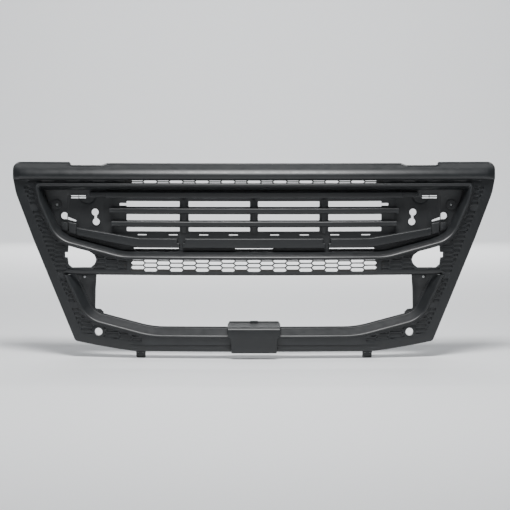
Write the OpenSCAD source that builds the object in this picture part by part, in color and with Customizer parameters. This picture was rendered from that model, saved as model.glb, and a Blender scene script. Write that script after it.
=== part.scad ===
// Front grille panel of a heavy truck cab.
// A bowed, trapezoid plastic surround carries a slatted insert in its upper window,
// a three-piece blade under the slats, two honeycomb mesh strips and a cover on its sill.
// Frame: +X across the cab, +Y to the rear, +Z up. The origin is the centre of the four
// hinge bolts, on the flat plane where the hinge brackets meet the cab.

/* [Body] */
// Width across the top corners
body_w = 1920; // [1900:10:1940]
// Radius of the bow, as seen from above
bow_r = 6000; // [5600:100:7000]
// Distance from the cab plane to the face at the middle
face_depth = 126; // [122:1:130]
// Wall thickness of the big mouldings
wall = 4; // [3.5:0.5:4.5]
// Depth of the surround's return flange
flange_depth = 45; // [42:1:48]

/* [Mesh] */
// Distance between the columns of the honeycomb
cell_pitch_x = 51.2; // [50:0.2:52]
// Distance between the rows of the honeycomb
cell_pitch_z = 18; // [17.5:0.1:18.5]
// Width of the webs between the cells
cell_web = 5; // [4:0.5:6]
// Thickness of the mesh strips
mesh_t = 4; // [3:0.5:5]

/* [Slats] */
// Height of a slat
slat_h = 20; // [18:1:22]
// Depth of a slat, from its nose to its rear edge
slat_depth = 22; // [18:1:24]
// Wall thickness of the slats, the bar and the blades
slat_wall = 3; // [2.5:0.5:3]

/* [Fixings] */
// Distance between the two hinge brackets
hinge_spacing = 1320; // [1300:10:1330]
// Distance between the two bolts of a bracket
hinge_bolt_rise = 24; // [22:1:26]
// Diameter of a hinge bolt hole
hinge_hole_d = 9; // [8.5:0.1:9.5]
// Diameter of the through bores in the lower corners
corner_bore_d = 31; // [28:1:32]

/* [Hidden] */
$fn = 48;

plastic = "#3b4043";
steel = "#8d9294";
rubber = "#1b1c1d";

gap = 0.4;             // clearance between pieces that lie on each other
bow_fn = 240;          // facets of a full turn of the bow
bow_half_angle = 10;   // half of the arc that the panel lies on
bow_y = bow_r - face_depth;
step_x = 110;          // longest straight chord on a swept edge
half_w = body_w / 2;
far = 300;             // reach of a cutter along Y
reach = 1000;          // reach of a cutter across the panel

// The screws that hold plastic to plastic
screw_r = 2.4;
screw_hole_r = 2.6;
screw_head_r = 5;
screw_head_t = 3;
boss_r = 5.5;
boss_gap = 0.8;        // a boss's flat end stays this far off the bowed carrier

// Levels, measured from the hinge bolts
top_z = 40;
notch_z = 28;
centre_top_z = 36;
roll_bottom_z = -30;
strip_top_z = -32;
bezel_top_z = -42;
bezel_bottom_z = -344;
mesh_bottom_z = -392;
rail_bottom_z = -408;
lower_crest_z = -657;
bottom_z = -712;
tongue_z = -740;

// Depths in front of the face (negative is behind it)
bezel_flange_d = -49;                          // front of the upper bezel's rear flange
carrier_d = bezel_flange_d - wall - gap;       // front of the slat carrier
carrier_back_d = carrier_d - wall;
shelf_d = -34;                                 // front of the lower bezel's rear flange
shelf_back_d = shelf_d - 3.5;
cheek_d = shelf_back_d - gap;                  // front of the cheek plates
cheek_t = 3.5;
mesh_d = -wall - gap;                          // front of the mesh strips

// ---- plane geometry ----

function unit(v) = v / norm(v);
function left_of(v) = [-v[1], v[0]];
function mirrored(half) = concat(half, [for (i = [len(half) - 1:-1:0]) [-half[i][0], half[i][1]]]);
function mirrored_list(half) = concat(half, [for (i = [len(half) - 1:-1:0]) half[i]]);

// A closed outline moved inwards by u; its points run clockwise
function inset(points, u) = [
    for (i = [0:len(points) - 1])
        let (
            n = len(points),
            before = unit(points[i] - points[(i + n - 1) % n]),
            after = unit(points[(i + 1) % n] - points[i]),
            inward = -(left_of(before) + left_of(after))
        )
        points[i] + inward * u * 2 / (inward * inward)
];

// The same for an open path, whose ends move square to it
function inset_open(points, u) = [
    for (i = [0:len(points) - 1])
        let (
            last = len(points) - 1,
            before = unit(points[max(i, 1)] - points[max(i, 1) - 1]),
            after = unit(points[min(i, last - 1) + 1] - points[min(i, last - 1)]),
            inward = -(left_of(before) + left_of(after))
        )
        points[i] + inward * u * 2 / (inward * inward)
];

// The arc that rounds the corner b between a and c, as steps + 1 points
function corner(a, b, c, r, steps) =
    let (
        to_a = unit(a - b),
        to_c = unit(c - b),
        half = acos(to_a * to_c) / 2,
        centre = b + unit(to_a + to_c) * r / sin(half),
        first = b + to_a * r / tan(half) - centre,
        last = b + to_c * r / tan(half) - centre
    )
    [for (k = [0:steps])
        centre + r * unit(first * (1 - k / steps) + last * (k / steps))];

// A closed outline with each corner rounded to its own radius
function rounded(points, radii, steps = 4) = [
    for (i = [0:len(points) - 1])
        let (n = len(points))
        each radii[i] > 0
            ? corner(points[(i + n - 1) % n], points[i], points[(i + 1) % n], radii[i], steps)
            : [points[i]]
];

// Extra points on the straight stretches of a ring, as many as the model ring needs
function refined(ring, model) = [
    for (i = [0:len(ring) - 1])
        let (
            j = (i + 1) % len(ring),
            cuts = max(1, ceil(norm(model[j] - model[i]) / step_x))
        )
        each [for (k = [0:cuts - 1]) ring[i] + (ring[j] - ring[i]) * k / cuts]
];

// ---- the bow ----

// The Y of a point that is d in front of the face, at x across the panel
function face_y(x, d) = bow_y - sqrt(pow(bow_r + d, 2) - x * x);
function bowed_point(p, d) = [p[0], face_y(p[0], d), p[1]];

// A section of [d, z] points, swept along the bow
module band(section) {
    translate([0, bow_y, 0])
        rotate_extrude(angle = 2 * bow_half_angle, start = -90 - bow_half_angle, $fn = bow_fn)
            polygon([for (p = section) [bow_r + p[0], p[1]]]);
}

module layer(d0, d1, z0 = -800, z1 = 100) {
    band([[d0, z0], [d1, z0], [d1, z1], [d0, z1]]);
}

// A front-view outline, cut straight through the panel
module through(points) {
    rotate([90, 0, 0]) linear_extrude(height = 600, center = true) polygon(points);
}

module slot_through(x0, x1, z0, z1) {
    through([[x0, z0], [x1, z0], [x1, z1], [x0, z1]]);
}

// A sheet between two depths with a given front-view outline
module sheet(points, d0, d1) {
    intersection() {
        layer(d0, d1);
        through(points);
    }
}

// A round piece along Y
module peg(x, z, y0, y1, r) {
    translate([x, y1, z]) rotate([90, 0, 0]) cylinder(h = y1 - y0, r = r);
}

module both_sides() {
    children();
    mirror([1, 0, 0]) children();
}

// A solid with the given [u, d] section, swept round a list of rings
module ring_sweep(rings, section) {
    n = len(rings[0]);
    m = len(section);
    points = [for (j = [0:m - 1]) each [for (p = rings[j]) bowed_point(p, section[j][0])]];
    faces = [for (j = [0:m - 1]) for (i = [0:n - 1])
        let (a = j * n + i, b = j * n + (i + 1) % n, c = ((j + 1) % m) * n + (i + 1) % n,
            d = ((j + 1) % m) * n + i)
        each [[a, b, c], [a, c, d]]];
    polyhedron(points = points, faces = faces, convexity = 10);
}

// The same along an open path, with a flat end at each side
module path_sweep(paths, section) {
    n = len(paths[0]);
    m = len(section);
    points = [for (j = [0:m - 1]) each [for (p = paths[j]) bowed_point(p, section[j][0])]];
    skin = [for (j = [0:m - 1]) for (i = [0:n - 2])
        let (a = j * n + i, b = a + 1, c = ((j + 1) % m) * n + i + 1, d = c - 1)
        each [[a, b, c], [a, c, d]]];
    start = [for (j = [0:m - 1]) j * n];
    end = [for (j = [m - 1:-1:0]) j * n + n - 1];
    polyhedron(points = points, faces = concat(skin, [start, end]), convexity = 10);
}

// ---- outlines, seen from the front ----

outline_half = [
    [0, centre_top_z], [582, centre_top_z], [606, notch_z], [726, notch_z], [734, top_z],
    [half_w, top_z], [half_w, roll_bottom_z], [half_w - 10, -84], [half_w - 80, -270],
    [715, -674], [628, -690], [540, -704], [476, bottom_z], [0, bottom_z]
];
outline_radii = [0, 0, 0, 0, 0, 26, 60, 200, 600, 18, 0, 0, 0, 0];
outline_sharp = [for (p = mirrored([for (i = [1:len(outline_half) - 2]) outline_half[i]])) p];
outline_round = mirrored_list([for (i = [1:len(outline_half) - 2]) outline_radii[i]]);
function body_outline(u = 0) =
    rounded(inset(outline_sharp, u), [for (r = outline_round) r > 0 ? max(r - u, 2) : 0]);

upper_sharp = mirrored([[876, bezel_top_z], [859, -120], [790, -274], [525, bezel_bottom_z]]);
upper_radii = mirrored_list([16, 200, 120, 260]);
function upper_ring(u) =
    rounded(inset(upper_sharp, u), [for (r = upper_radii) max(r - u, 4)]);

lower_half = [[757, -396], [672, -590], [410, lower_crest_z]];
lower_radii = [120, 420];
lower_open = mirrored(lower_half);
function lower_path(u) =
    let (
        p = inset_open(lower_open, u),
        r = concat([0], lower_radii, [lower_radii[1], lower_radii[0]], [0])
    )
    [for (i = [0:5]) each i == 0 || i == 5
        ? [p[i]]
        : corner(p[i - 1], p[i], p[i + 1], max(r[i] - u, 4), 5)];
function refined_path(path, model) = [
    for (i = [0:len(path) - 1])
        let (
            j = min(i + 1, len(path) - 1),
            cuts = max(1, ceil(norm(model[j] - model[i]) / step_x))
        )
        each [for (k = [0:cuts - 1]) path[i] + (path[j] - path[i]) * k / cuts]
];

// The hole through the surround at each side of the waist rail
side_hole = [
    [752, -318], [740, -318], [738, -292], [700, -303], [655, -314], [634, -328],
    [627, -346], [632, -362], [648, -377], [724, -378], [738, -366], [742, -338], [752, -338]
];

// ---- fixing points, as [x, z] of the right side; a point at x = 0 stands once ----

bezel_fix = [
    [560, -47], [700, -47], [840, -47], [822, -190], [740, -282], [600, -319],
    [732, -440], [697, -520], [600, -603], [500, -629], [340, -652], [200, -652]
];
carrier_fix = [[0, -65], [380, -65], [720, -65], [802, -190], [640, -291], [200, -321]];
bar_fix = [[140, -90], [400, -90], [620, -89]];
middle_fix = [[140, -153], [400, -153], [545, -153]];
lower_fix = [[140, -205.5], [400, -205.5], [545, -205.5]];
centre_blade_fix = [[150, -281]];
side_blade_fix = [[340, -281], [520, -270], [670, -244]];
blade_bracket_fix = [[724, -226]];
boss_fix = [790, -132];
cheek_front_fix = [678, -418];
cheek_rear_fix = [671, -500];
cover_fix = [60, -685];
lower_mesh_fix = [[0, -401], [250, -401], [504, -352], [504, -388]];
upper_mesh_fix = [[0, -46.3], [256, -46.3], [524, -38]];
tongue_fix_x = [442, 463];
corner_bore = [620, -635];
buffer_at = [790, -440];

module each_fix(points) {
    for (p = points)
        for (s = p[0] == 0 ? [1] : [-1, 1])
            translate([s * p[0], 0, p[1]]) children();
}

// A screw whose head lies behind the surface at depth d and whose shank points forward
module rear_screws(points, d, length) {
    for (p = points) {
        seat = face_y(p[0], d) + screw_head_r * p[0] / bow_r + 0.05;
        each_fix([p]) {
            peg(0, 0, seat, seat + screw_head_t, screw_head_r);
            peg(0, 0, seat - length, seat + 1, screw_r);
        }
    }
}

// Clearance holes that run from behind to the depth d
module screw_holes(points, d = far) {
    for (p = points)
        each_fix([p]) peg(0, 0, d == far ? -far : face_y(p[0], d), far, screw_hole_r);
}

// Screw bosses between two depths, inside a hollow piece
module boss(p, d0, d1) {
    peg(p[0], p[1], face_y(p[0], d1), face_y(p[0], d0) - boss_gap, boss_r);
}

module bosses(points, d0, d1) {
    both_sides() for (p = points) boss(p, d0, d1);
}

// ---- the surround ----

surround_section = [
    [-flange_depth, top_z], [-34, top_z], [-8, 22], [8, 12], [17, 0], [21, -9], [21, -18],
    [17, -26], [9, roll_bottom_z], [0, roll_bottom_z], [0, -800], [-flange_depth, -800]
];
surround_hollow = [
    [-100, top_z - wall], [-36, top_z - wall], [-11, 19], [5, 9], [13, -2], [17, -10],
    [17, -17], [14, -23], [8, roll_bottom_z + wall], [-wall, roll_bottom_z + wall],
    [-wall, -800], [-100, -800]
];
collar_t = 5;
collar_front_y = face_y(corner_bore[0], 4);
collar_back_y = collar_front_y + 24;
buffer_seat_y = -28;
buffer_stem_r = 4;
lip = 9.5;             // how far the bezels' edges cover the surround's wall
stud_r = 1.8;
bracket_x = hinge_spacing / 2;
bracket_half_w = 32;
bracket_t = 3;
rib_inner = bracket_half_w + gap;
rib_d = -42;

// The ribs inside the top roll that carry a hinge bracket
module hinge_ribs() {
    intersection() {
        band(surround_section);
        layer(rib_d, 30, roll_bottom_z + 1, notch_z - 2);
        for (s = [-1, 1])
            translate([bracket_x + s * (rib_inner + wall / 2), 0, 0])
                cube([wall, 2 * far, 100], center = true);
    }
}

// The bent arm behind the waist rail that a cheek plate is screwed to
module cheek_arm() {
    sheet([[668, -404], [688, -404], [688, -396], [668, -396]], cheek_d - cheek_t - 5, -1);
    sheet([[668, -427], [688, -427], [688, -396], [668, -396]], cheek_d - cheek_t - 5,
        cheek_d - cheek_t - gap);
}

module mesh_studs(points) {
    for (p = points)
        each_fix([p]) peg(0, 0, face_y(p[0], -1), face_y(p[0], mesh_d - mesh_t - 3), stud_r);
}

// The whole moulding; it is listed in seven nodes: header, waist rail, sill, sides and corners
module surround_moulding() {
    difference() {
        union() {
            difference() {
                intersection() {
                    band(surround_section);
                    through(body_outline());
                }
                intersection() {
                    band(surround_hollow);
                    through(body_outline(wall));
                }
                through(upper_ring(lip));
                intersection() {
                    through(lower_path(lip));
                    slot_through(-half_w, half_w, bottom_z, rail_bottom_z);
                }
                both_sides() through(side_hole);
                slot_through(-512, 512, bezel_top_z + gap, strip_top_z);
                slot_through(-488, 488, mesh_bottom_z, bezel_bottom_z - 2);
            }
            mesh_studs(upper_mesh_fix);
            mesh_studs(lower_mesh_fix);
            both_sides() {
                hinge_ribs();
                cheek_arm();
                peg(corner_bore[0], corner_bore[1], collar_front_y, collar_back_y,
                    corner_bore_d / 2 + collar_t);
                peg(buffer_at[0], buffer_at[1], face_y(buffer_at[0], -2), buffer_seat_y, 11);
            }
        }
        screw_holes(bezel_fix);
        screw_holes([cover_fix, cheek_front_fix]);
        both_sides() {
            peg(corner_bore[0], corner_bore[1], -far, far, corner_bore_d / 2);
            peg(buffer_at[0], buffer_at[1], buffer_seat_y - 16, far, buffer_stem_r + 0.2);
            bracket_bolt_holes();
            tongue_rivet_holes();
        }
    }
}

header_bottom_z = -50;
corner_top_z = -428;
side_inner_x = 590;

module surround_part(x0, x1, z0, z1) {
    color(plastic) intersection() {
        surround_moulding();
        slot_through(x0, x1, z0, z1);
    }
}

module surround_header() { surround_part(-reach, reach, header_bottom_z, reach); }

module surround_waist() {
    surround_part(-side_inner_x, side_inner_x, corner_top_z, header_bottom_z);
}

module surround_sill() { surround_part(-side_inner_x, side_inner_x, -reach, corner_top_z); }

module surround_side_right() { surround_part(side_inner_x, reach, corner_top_z, header_bottom_z); }

module surround_side_left() { surround_part(-reach, -side_inner_x, corner_top_z, header_bottom_z); }

module surround_corner_right() { surround_part(side_inner_x, reach, -reach, corner_top_z); }

module surround_corner_left() { surround_part(-reach, -side_inner_x, -reach, corner_top_z); }

// ---- the bezel round the upper window: [distance in from its outer edge, depth] ----

bezel_section = [
    [0, gap], [0, 7], [3, 11], [7, 12], [12, 9], [18, 0], [24, -15], [28, -31],
    [31, bezel_flange_d], [31, bezel_flange_d - wall], [16, bezel_flange_d - wall],
    [16, bezel_flange_d], [27, bezel_flange_d], [24, -31], [20, -16.5], [14.5, -3.5], [12, gap]
];

module upper_bezel() {
    model = upper_ring(0);
    color(plastic) difference() {
        ring_sweep([for (s = bezel_section) refined(upper_ring(s[0]), model)],
            [for (s = bezel_section) [s[1]]]);
        screw_holes(bezel_fix, 9);
        screw_holes(carrier_fix, bezel_flange_d + 3);
    }
}

// ---- the bezel round the lower opening, which is also the shelf of the sill ----

shelf_section = [
    [0, gap], [0, 5], [3, 8.5], [7, 8.5], [11, 6], [36, shelf_d], [42, shelf_d],
    [42, shelf_back_d], [32, shelf_back_d], [11, gap]
];

// The whole moulding; it is listed in five nodes, cut where it bends
module lower_bezel_moulding() {
    model = lower_path(0);
    difference() {
        path_sweep([for (s = shelf_section) refined_path(lower_path(s[0]), model)],
            [for (s = shelf_section) [s[1]]]);
        slot_through(-half_w, half_w, rail_bottom_z - gap, 0);
        screw_holes(bezel_fix, 7);
        screw_holes([cheek_rear_fix]);
    }
}

bezel_bend_x = 400;
bezel_corner_x = 570;

module lower_bezel_part(x0, x1) {
    color(plastic) intersection() {
        lower_bezel_moulding();
        slot_through(x0, x1, -reach, reach);
    }
}

module lower_bezel_middle() { lower_bezel_part(-bezel_bend_x, bezel_bend_x); }

module lower_bezel_slope_right() { lower_bezel_part(bezel_bend_x, bezel_corner_x); }

module lower_bezel_slope_left() { lower_bezel_part(-bezel_corner_x, -bezel_bend_x); }

module lower_bezel_corner_right() { lower_bezel_part(bezel_corner_x, reach); }

module lower_bezel_corner_left() { lower_bezel_part(-reach, -bezel_corner_x); }

// ---- the insert that carries the slats ----

window_rows = [[-138, -116], [-192, -168], [-236, -220]];
mullion_x = 278;
mullion_half_w = 18;
centre_mullion_half_w = 16;
side_window_x = 508;
window_step_x = 536;
blade_slit_x = [82, 200, 322, 446];
key_r = 14;

// The two keyhole-shaped openings of a side plate
module key_holes() {
    peg(759, -176, -far, far, key_r);
    through([[764, -190], [712, -200], [712, -192], [768, -184]]);
    peg(635, -161, -far, far, key_r);
    peg(631, -199, -far, far, key_r);
    slot_through(630, 636, -199, -161);
}

// The whole moulding; it is listed in seven nodes, one per side plate, rail and set of bars
module carrier_moulding() {
    rib_back_d = carrier_back_d - 18;
    boss_y = face_y(boss_fix[0], carrier_d);
    color(plastic) difference() {
        union() {
            sheet(upper_ring(18), carrier_back_d, carrier_d);
            for (x = [-mullion_x, 0, mullion_x])
                sheet([[x - 13, -244], [x + 13, -244], [x + 13, -108], [x - 13, -108]],
                    rib_back_d, carrier_d - 1);
            both_sides() peg(boss_fix[0], boss_fix[1], boss_y - 8, boss_y + 8, 19);
        }
        both_sides() {
            for (row = window_rows) {
                slot_through(centre_mullion_half_w, mullion_x - mullion_half_w, row[0], row[1]);
                slot_through(mullion_x + mullion_half_w, side_window_x, row[0], row[1]);
            }
            slot_through(side_window_x - 1, window_step_x, -134, -124);
            key_holes();
            slot_through(672, 732, -98, -94);
            slot_through(672, 732, -106, -102);
            for (x = blade_slit_x) slot_through(x - 18, x + 18, -252, -248);
            slot_through(300, 480, -306, -302);
            peg(boss_fix[0], boss_fix[1], -far, far, 3);
            peg(boss_fix[0], boss_fix[1], -far, boss_y + 3, 6.5);
        }
        slot_through(-75, 75, -306, -302);
        screw_holes(concat(carrier_fix, bar_fix, middle_fix, lower_fix));
        screw_holes(concat(centre_blade_fix, side_blade_fix, blade_bracket_fix));
    }
}

module carrier_part(x0, x1, z0, z1) {
    intersection() {
        carrier_moulding();
        slot_through(x0, x1, z0, z1);
    }
}

carrier_top_z = window_rows[0][1];
mullion_reach = 30;
carrier_low_z = window_rows[2][0];

module carrier_side_right() { color(plastic) carrier_part(side_window_x, reach, -reach, 0); }

module carrier_side_left() { color(plastic) carrier_part(-reach, -side_window_x, -reach, 0); }

module carrier_top_rail() {
    color(plastic) carrier_part(-side_window_x, side_window_x, carrier_top_z, 0);
}

module carrier_bottom_rail() {
    color(plastic) carrier_part(-side_window_x, side_window_x, -reach, carrier_low_z);
}

module carrier_upper_bar() {
    color(plastic)
        carrier_part(-side_window_x, side_window_x, window_rows[1][1], window_rows[0][0]);
}

module carrier_lower_bar() {
    color(plastic)
        carrier_part(-side_window_x, side_window_x, window_rows[2][1], window_rows[1][0]);
}

module carrier_mullions() {
    color(plastic) for (row = window_rows)
        for (x = [-mullion_x, 0, mullion_x])
            carrier_part(x - mullion_reach, x + mullion_reach, row[0], row[1]);
}

// ---- the bar and the slats in front of the carrier ----

slat_back = carrier_d + gap;

// A C section, open to the rear, whose nose has bevelled edges
function c_section(z0, z1, back, nose, bevel) = [
    [back, z0], [nose - bevel, z0], [nose, z0 + bevel], [nose, z1 - bevel], [nose - bevel, z1],
    [back, z1], [back, z1 - slat_wall], [nose - bevel - 1, z1 - slat_wall],
    [nose - slat_wall, z1 - bevel - 1], [nose - slat_wall, z0 + bevel + 1],
    [nose - bevel - 1, z0 + slat_wall], [back, z0 + slat_wall]
];

module rail(z0, z1, half_length, nose, points) {
    difference() {
        union() {
            intersection() {
                band(c_section(z0, z1, slat_back, nose, 4));
                slot_through(-half_length, half_length, z0 - 10, z1 + 10);
            }
            bosses(points, slat_back, nose - 1);
            both_sides() sheet([[half_length - slat_wall, z0 + 1], [half_length, z0 + 1],
                [half_length, z1 - 1], [half_length - slat_wall, z1 - 1]], slat_back, nose - 2);
        }
        screw_holes(points, nose - 5);
    }
}

module middle_slat() {
    color(plastic) rail(-153 - slat_h / 2, -153 + slat_h / 2, 576, slat_back + slat_depth, middle_fix);
}

module lower_slat() {
    color(plastic) rail(-205.5 - slat_h / 2, -205.5 + slat_h / 2, 568, slat_back + slat_depth,
        lower_fix);
}

// A tray with its floor to the front and a wall round its outline
module tray(points, back, front) {
    difference() {
        sheet(points, back, front);
        sheet(inset(points, slat_wall), back - 20, front - slat_wall);
    }
}

module top_bar() {
    nose = slat_back + 26;
    inner_fix = [bar_fix[0], bar_fix[1]];
    stub = [[590, -98], [590, -80], [656, -80], [656, -98]];
    color(plastic) {
        rail(-103, -77, 590, nose, inner_fix);
        both_sides() difference() {
            union() {
                tray(stub, slat_back, nose - 8);
                boss(bar_fix[2], slat_back, nose - 10);
            }
            peg(bar_fix[2][0], bar_fix[2][1], face_y(bar_fix[2][0], nose - 13), far, screw_hole_r);
        }
    }
}

// ---- the blade under the slats, in three lengths with lapped joints ----

blade_front = slat_back + 34;
blade_side = [[296, -300], [296, -282], [304, -282], [304, -263], [456, -263], [708, -222],
    [708, -252], [560, -281], [456, -300]];
blade_middle = [[-283, -301], [-283, -282], [-275, -282], [-275, -263], [275, -263], [275, -282],
    [283, -282], [283, -301]];

module blade_centre() {
    color(plastic) difference() {
        union() {
            tray(blade_middle, slat_back, blade_front);
            bosses(centre_blade_fix, slat_back, blade_front - 1);
        }
        screw_holes(centre_blade_fix, blade_front - 16);
    }
}

module blade_right() {
    color(plastic) difference() {
        union() {
            tray(blade_side, slat_back, blade_front);
            for (p = side_blade_fix) boss(p, slat_back, blade_front - 1);
        }
        screw_holes(side_blade_fix, blade_front - 16);
    }
}

module blade_left() { color(plastic) mirror([1, 0, 0]) blade_right(); }

// The clamp that holds the outer end of the blade, with the block beside it
module blade_bracket_right() {
    plate = [[709, -250], [709, -206], [740, -202], [740, -242]];
    color(plastic) difference() {
        union() {
            tray(plate, slat_back, blade_front - 10);
            for (p = blade_bracket_fix) boss(p, slat_back, blade_front - 11);
            sheet([[739, -232], [739, -210], [746, -210], [746, -228]], slat_back, slat_back + 5);
            sheet([[745, -236], [745, -204], [770, -200], [768, -232]], slat_back, slat_back + 16);
        }
        screw_holes(blade_bracket_fix, blade_front - 22);
    }
}

module blade_bracket_left() { color(plastic) mirror([1, 0, 0]) blade_bracket_right(); }

// ---- honeycomb strips behind the surround's wall ----

cell_slant = 9;        // how far a cell's side vertex stands out past its flat

function cell(x, z) =
    let (
        h = (cell_pitch_z - cell_web) / 2,
        rise = cell_pitch_z / 2,
        tip = (cell_pitch_x + cell_slant) / 2 - cell_web / 2 * norm([rise, cell_slant]) / rise,
        flat = tip - h * cell_slant / rise
    )
    [[x - flat, z + h], [x + flat, z + h], [x + tip, z], [x + flat, z - h], [x - flat, z - h],
        [x - tip, z]];

// A strip with cells in the given rows, cut off at the edges of the open area
module mesh(half_length, z0, z1, open_half, open_z0, open_z1, row_z, rows) {
    columns = floor(open_half / cell_pitch_x);
    difference() {
        sheet([[-half_length, z0], [half_length, z0], [half_length, z1], [-half_length, z1]],
            mesh_d - mesh_t, mesh_d);
        intersection() {
            slot_through(-open_half, open_half, open_z0, open_z1);
            union() for (i = [-columns:columns], k = rows)
                through(cell(i * cell_pitch_x, row_z + (k + (i % 2 == 0 ? 0 : 0.5)) * cell_pitch_z));
        }
    }
}

module stud_holes(points) {
    each_fix(points) peg(0, 0, -far, far, stud_r + 0.2);
}

module upper_mesh() {
    color(plastic) difference() {
        mesh(534, -49.6, -27, 512, -43, -31, -37, [-1, 0]);
        stud_holes(upper_mesh_fix);
    }
}

module lower_mesh() {
    color(plastic) difference() {
        mesh(516, -406, -337, 490, -394, -341, -368, [-1, 0, 1]);
        stud_holes(lower_mesh_fix);
    }
}

module mesh_clips() {
    color(steel) for (p = concat(upper_mesh_fix, lower_mesh_fix)) {
        seat = face_y(p[0], mesh_d - mesh_t) + 3.2 * p[0] / bow_r + 0.05;
        each_fix([p]) difference() {
            peg(0, 0, seat, seat + 0.8, 3.2);
            peg(0, 0, seat - 1, seat + 2, stud_r + 0.05);
        }
    }
}

// ---- the plates at the sides of the lower opening ----

cheek_outline = [[718, -410], [657, -552], [646, -566], [606, -576], [602, -560], [614, -548],
    [636, -546], [634, -470], [630, -410]];

module cheek_right() {
    color(plastic) difference() {
        sheet(cheek_outline, cheek_d - cheek_t, cheek_d);
        screw_holes([cheek_front_fix, cheek_rear_fix]);
    }
}

module cheek_left() { color(plastic) mirror([1, 0, 0]) cheek_right(); }

module cheek_screws() {
    seat = face_y(cheek_front_fix[0], cheek_d) - screw_head_r * cheek_front_fix[0] / bow_r - 0.05;
    color(steel) {
        both_sides() {
            peg(cheek_front_fix[0], cheek_front_fix[1], seat - screw_head_t, seat, screw_head_r);
            peg(cheek_front_fix[0], cheek_front_fix[1], seat - 1, seat + 14, screw_r);
        }
        rear_screws([cheek_rear_fix], cheek_d - cheek_t, 7);
    }
}

// ---- the cover at the middle of the sill ----

cover_d = 22;
cover_back_d = shelf_d - 10;
cover_outline = [[-90, -715], [-92, -658], [-105, -646], [-105, -606], [-98, -594], [98, -594],
    [105, -606], [105, -646], [92, -658], [90, -715]];

// The side view of the cover, moved in by u
function cover_profile(u) = [
    [cover_back_d - u, -598 - u], [8 - u, -612 - u], [18 - u, -619 - u], [cover_d - u, -632],
    [cover_d - u, -720], [cover_back_d - u, -720]
];

module sill_cover() {
    color(plastic) difference() {
        union() {
            difference() {
                intersection() {
                    band(cover_profile(0));
                    through(cover_outline);
                }
                intersection() {
                    band(cover_profile(slat_wall));
                    through(inset(cover_outline, slat_wall));
                }
                // the sill that the cover sits on
                band([[-100, lower_crest_z + 41], [shelf_d + gap, lower_crest_z + 42.5],
                    [shelf_d + gap, lower_crest_z + 36.5], [7, lower_crest_z + 11.5],
                    [9, lower_crest_z + 8], [9, lower_crest_z - gap], [gap, lower_crest_z - gap],
                    [gap, -730], [-100, -730]]);
            }
            bosses([cover_fix], 2 * gap, cover_d - 2);
            sheet([[-16, -600], [16, -600], [16, -592], [-16, -592]], cover_back_d, cover_back_d + 8);
        }
        screw_holes([cover_fix], cover_d - 8);
    }
}

// ---- tongues under the bottom edge ----

tongue_t = 4;
tongue_d = -26;

module tongue_right() {
    color(plastic) difference() {
        union() {
            sheet([[433, tongue_z], [471, tongue_z], [471, bottom_z - gap], [433, bottom_z - gap]],
                tongue_d, tongue_d + tongue_t);
            sheet([[433, bottom_z - gap - tongue_t], [471, bottom_z - gap - tongue_t],
                [471, bottom_z - gap], [433, bottom_z - gap]], tongue_d, -4);
        }
        tongue_rivet_holes();
    }
}

module tongue_left() { color(plastic) mirror([1, 0, 0]) tongue_right(); }

// A cylinder along Z through a tongue's foot, for each of its rivets
module tongue_rivet(z0, z1, r) {
    for (x = tongue_fix_x)
        translate([x, face_y(x, -12), z0]) cylinder(h = z1 - z0, r = r);
}

module tongue_rivet_holes() {
    tongue_rivet(bottom_z - 20, bottom_z + 20, screw_hole_r);
}

module tongue_rivets() {
    foot_z = bottom_z - gap - tongue_t;
    color(steel) both_sides() {
        tongue_rivet(foot_z - 1, bottom_z + wall + 1, screw_r);
        tongue_rivet(foot_z - 1.6, foot_z - 0.05, 4.5);
        tongue_rivet(bottom_z + wall + 0.05, bottom_z + wall + 1.6, 4.5);
    }
}

// ---- hinge brackets, bolted to the ribs inside the top roll ----

bracket_bolt_y = face_y(bracket_x, -30);
bracket_bolt_z = [-14, 8];

module bracket_bolt_holes() {
    for (z = bracket_bolt_z)
        translate([bracket_x, bracket_bolt_y, z]) rotate([0, 90, 0])
            cylinder(h = 100, r = screw_hole_r, center = true);
}

module hinge_bracket_right() {
    arm = -bracket_bolt_y + 14;
    color(steel) difference() {
        union() {
            translate([bracket_x - bracket_half_w, -bracket_t, -27])
                cube([2 * bracket_half_w, bracket_t, 48]);
            for (s = [0, 1])
                translate([bracket_x - bracket_half_w + s * (2 * bracket_half_w - bracket_t),
                    -arm, -25]) cube([bracket_t, arm, 44]);
        }
        for (z = [-hinge_bolt_rise / 2, hinge_bolt_rise / 2])
            peg(bracket_x, z, -20, 10, hinge_hole_d / 2);
        bracket_bolt_holes();
    }
}

module hinge_bracket_left() { color(steel) mirror([1, 0, 0]) hinge_bracket_right(); }

// A cylinder along X, outside (or inside) both arms of a bracket, from a to b off its middle
module bracket_rounds(a, b, r) {
    for (s = [0, 1])
        for (z = bracket_bolt_z)
            translate([bracket_x, bracket_bolt_y, z]) mirror([s, 0, 0]) translate([a, 0, 0])
                rotate([0, 90, 0]) cylinder(h = b - a, r = r);
}

rib_outer = rib_inner + wall;
nut_t = 4;

module bracket_bolts() {
    color(steel) both_sides() {
        bracket_rounds(rib_outer + 0.05, rib_outer + 3.5, screw_head_r);
        bracket_rounds(bracket_half_w - bracket_t - nut_t - 2, rib_outer + 1, screw_r);
    }
}

module bracket_nuts() {
    inner = bracket_half_w - bracket_t - nut_t - 0.05;
    color(steel) both_sides() difference() {
        bracket_rounds(inner, inner + nut_t, screw_head_r);
        bracket_rounds(inner - 1, inner + nut_t + 1, screw_r + 0.05);
    }
}

// ---- the screws ----

module bezel_screws() {
    color(steel) rear_screws(bezel_fix, -wall, 9);
}

module carrier_screws() {
    color(steel) rear_screws(carrier_fix, carrier_back_d, 10);
}

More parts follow.
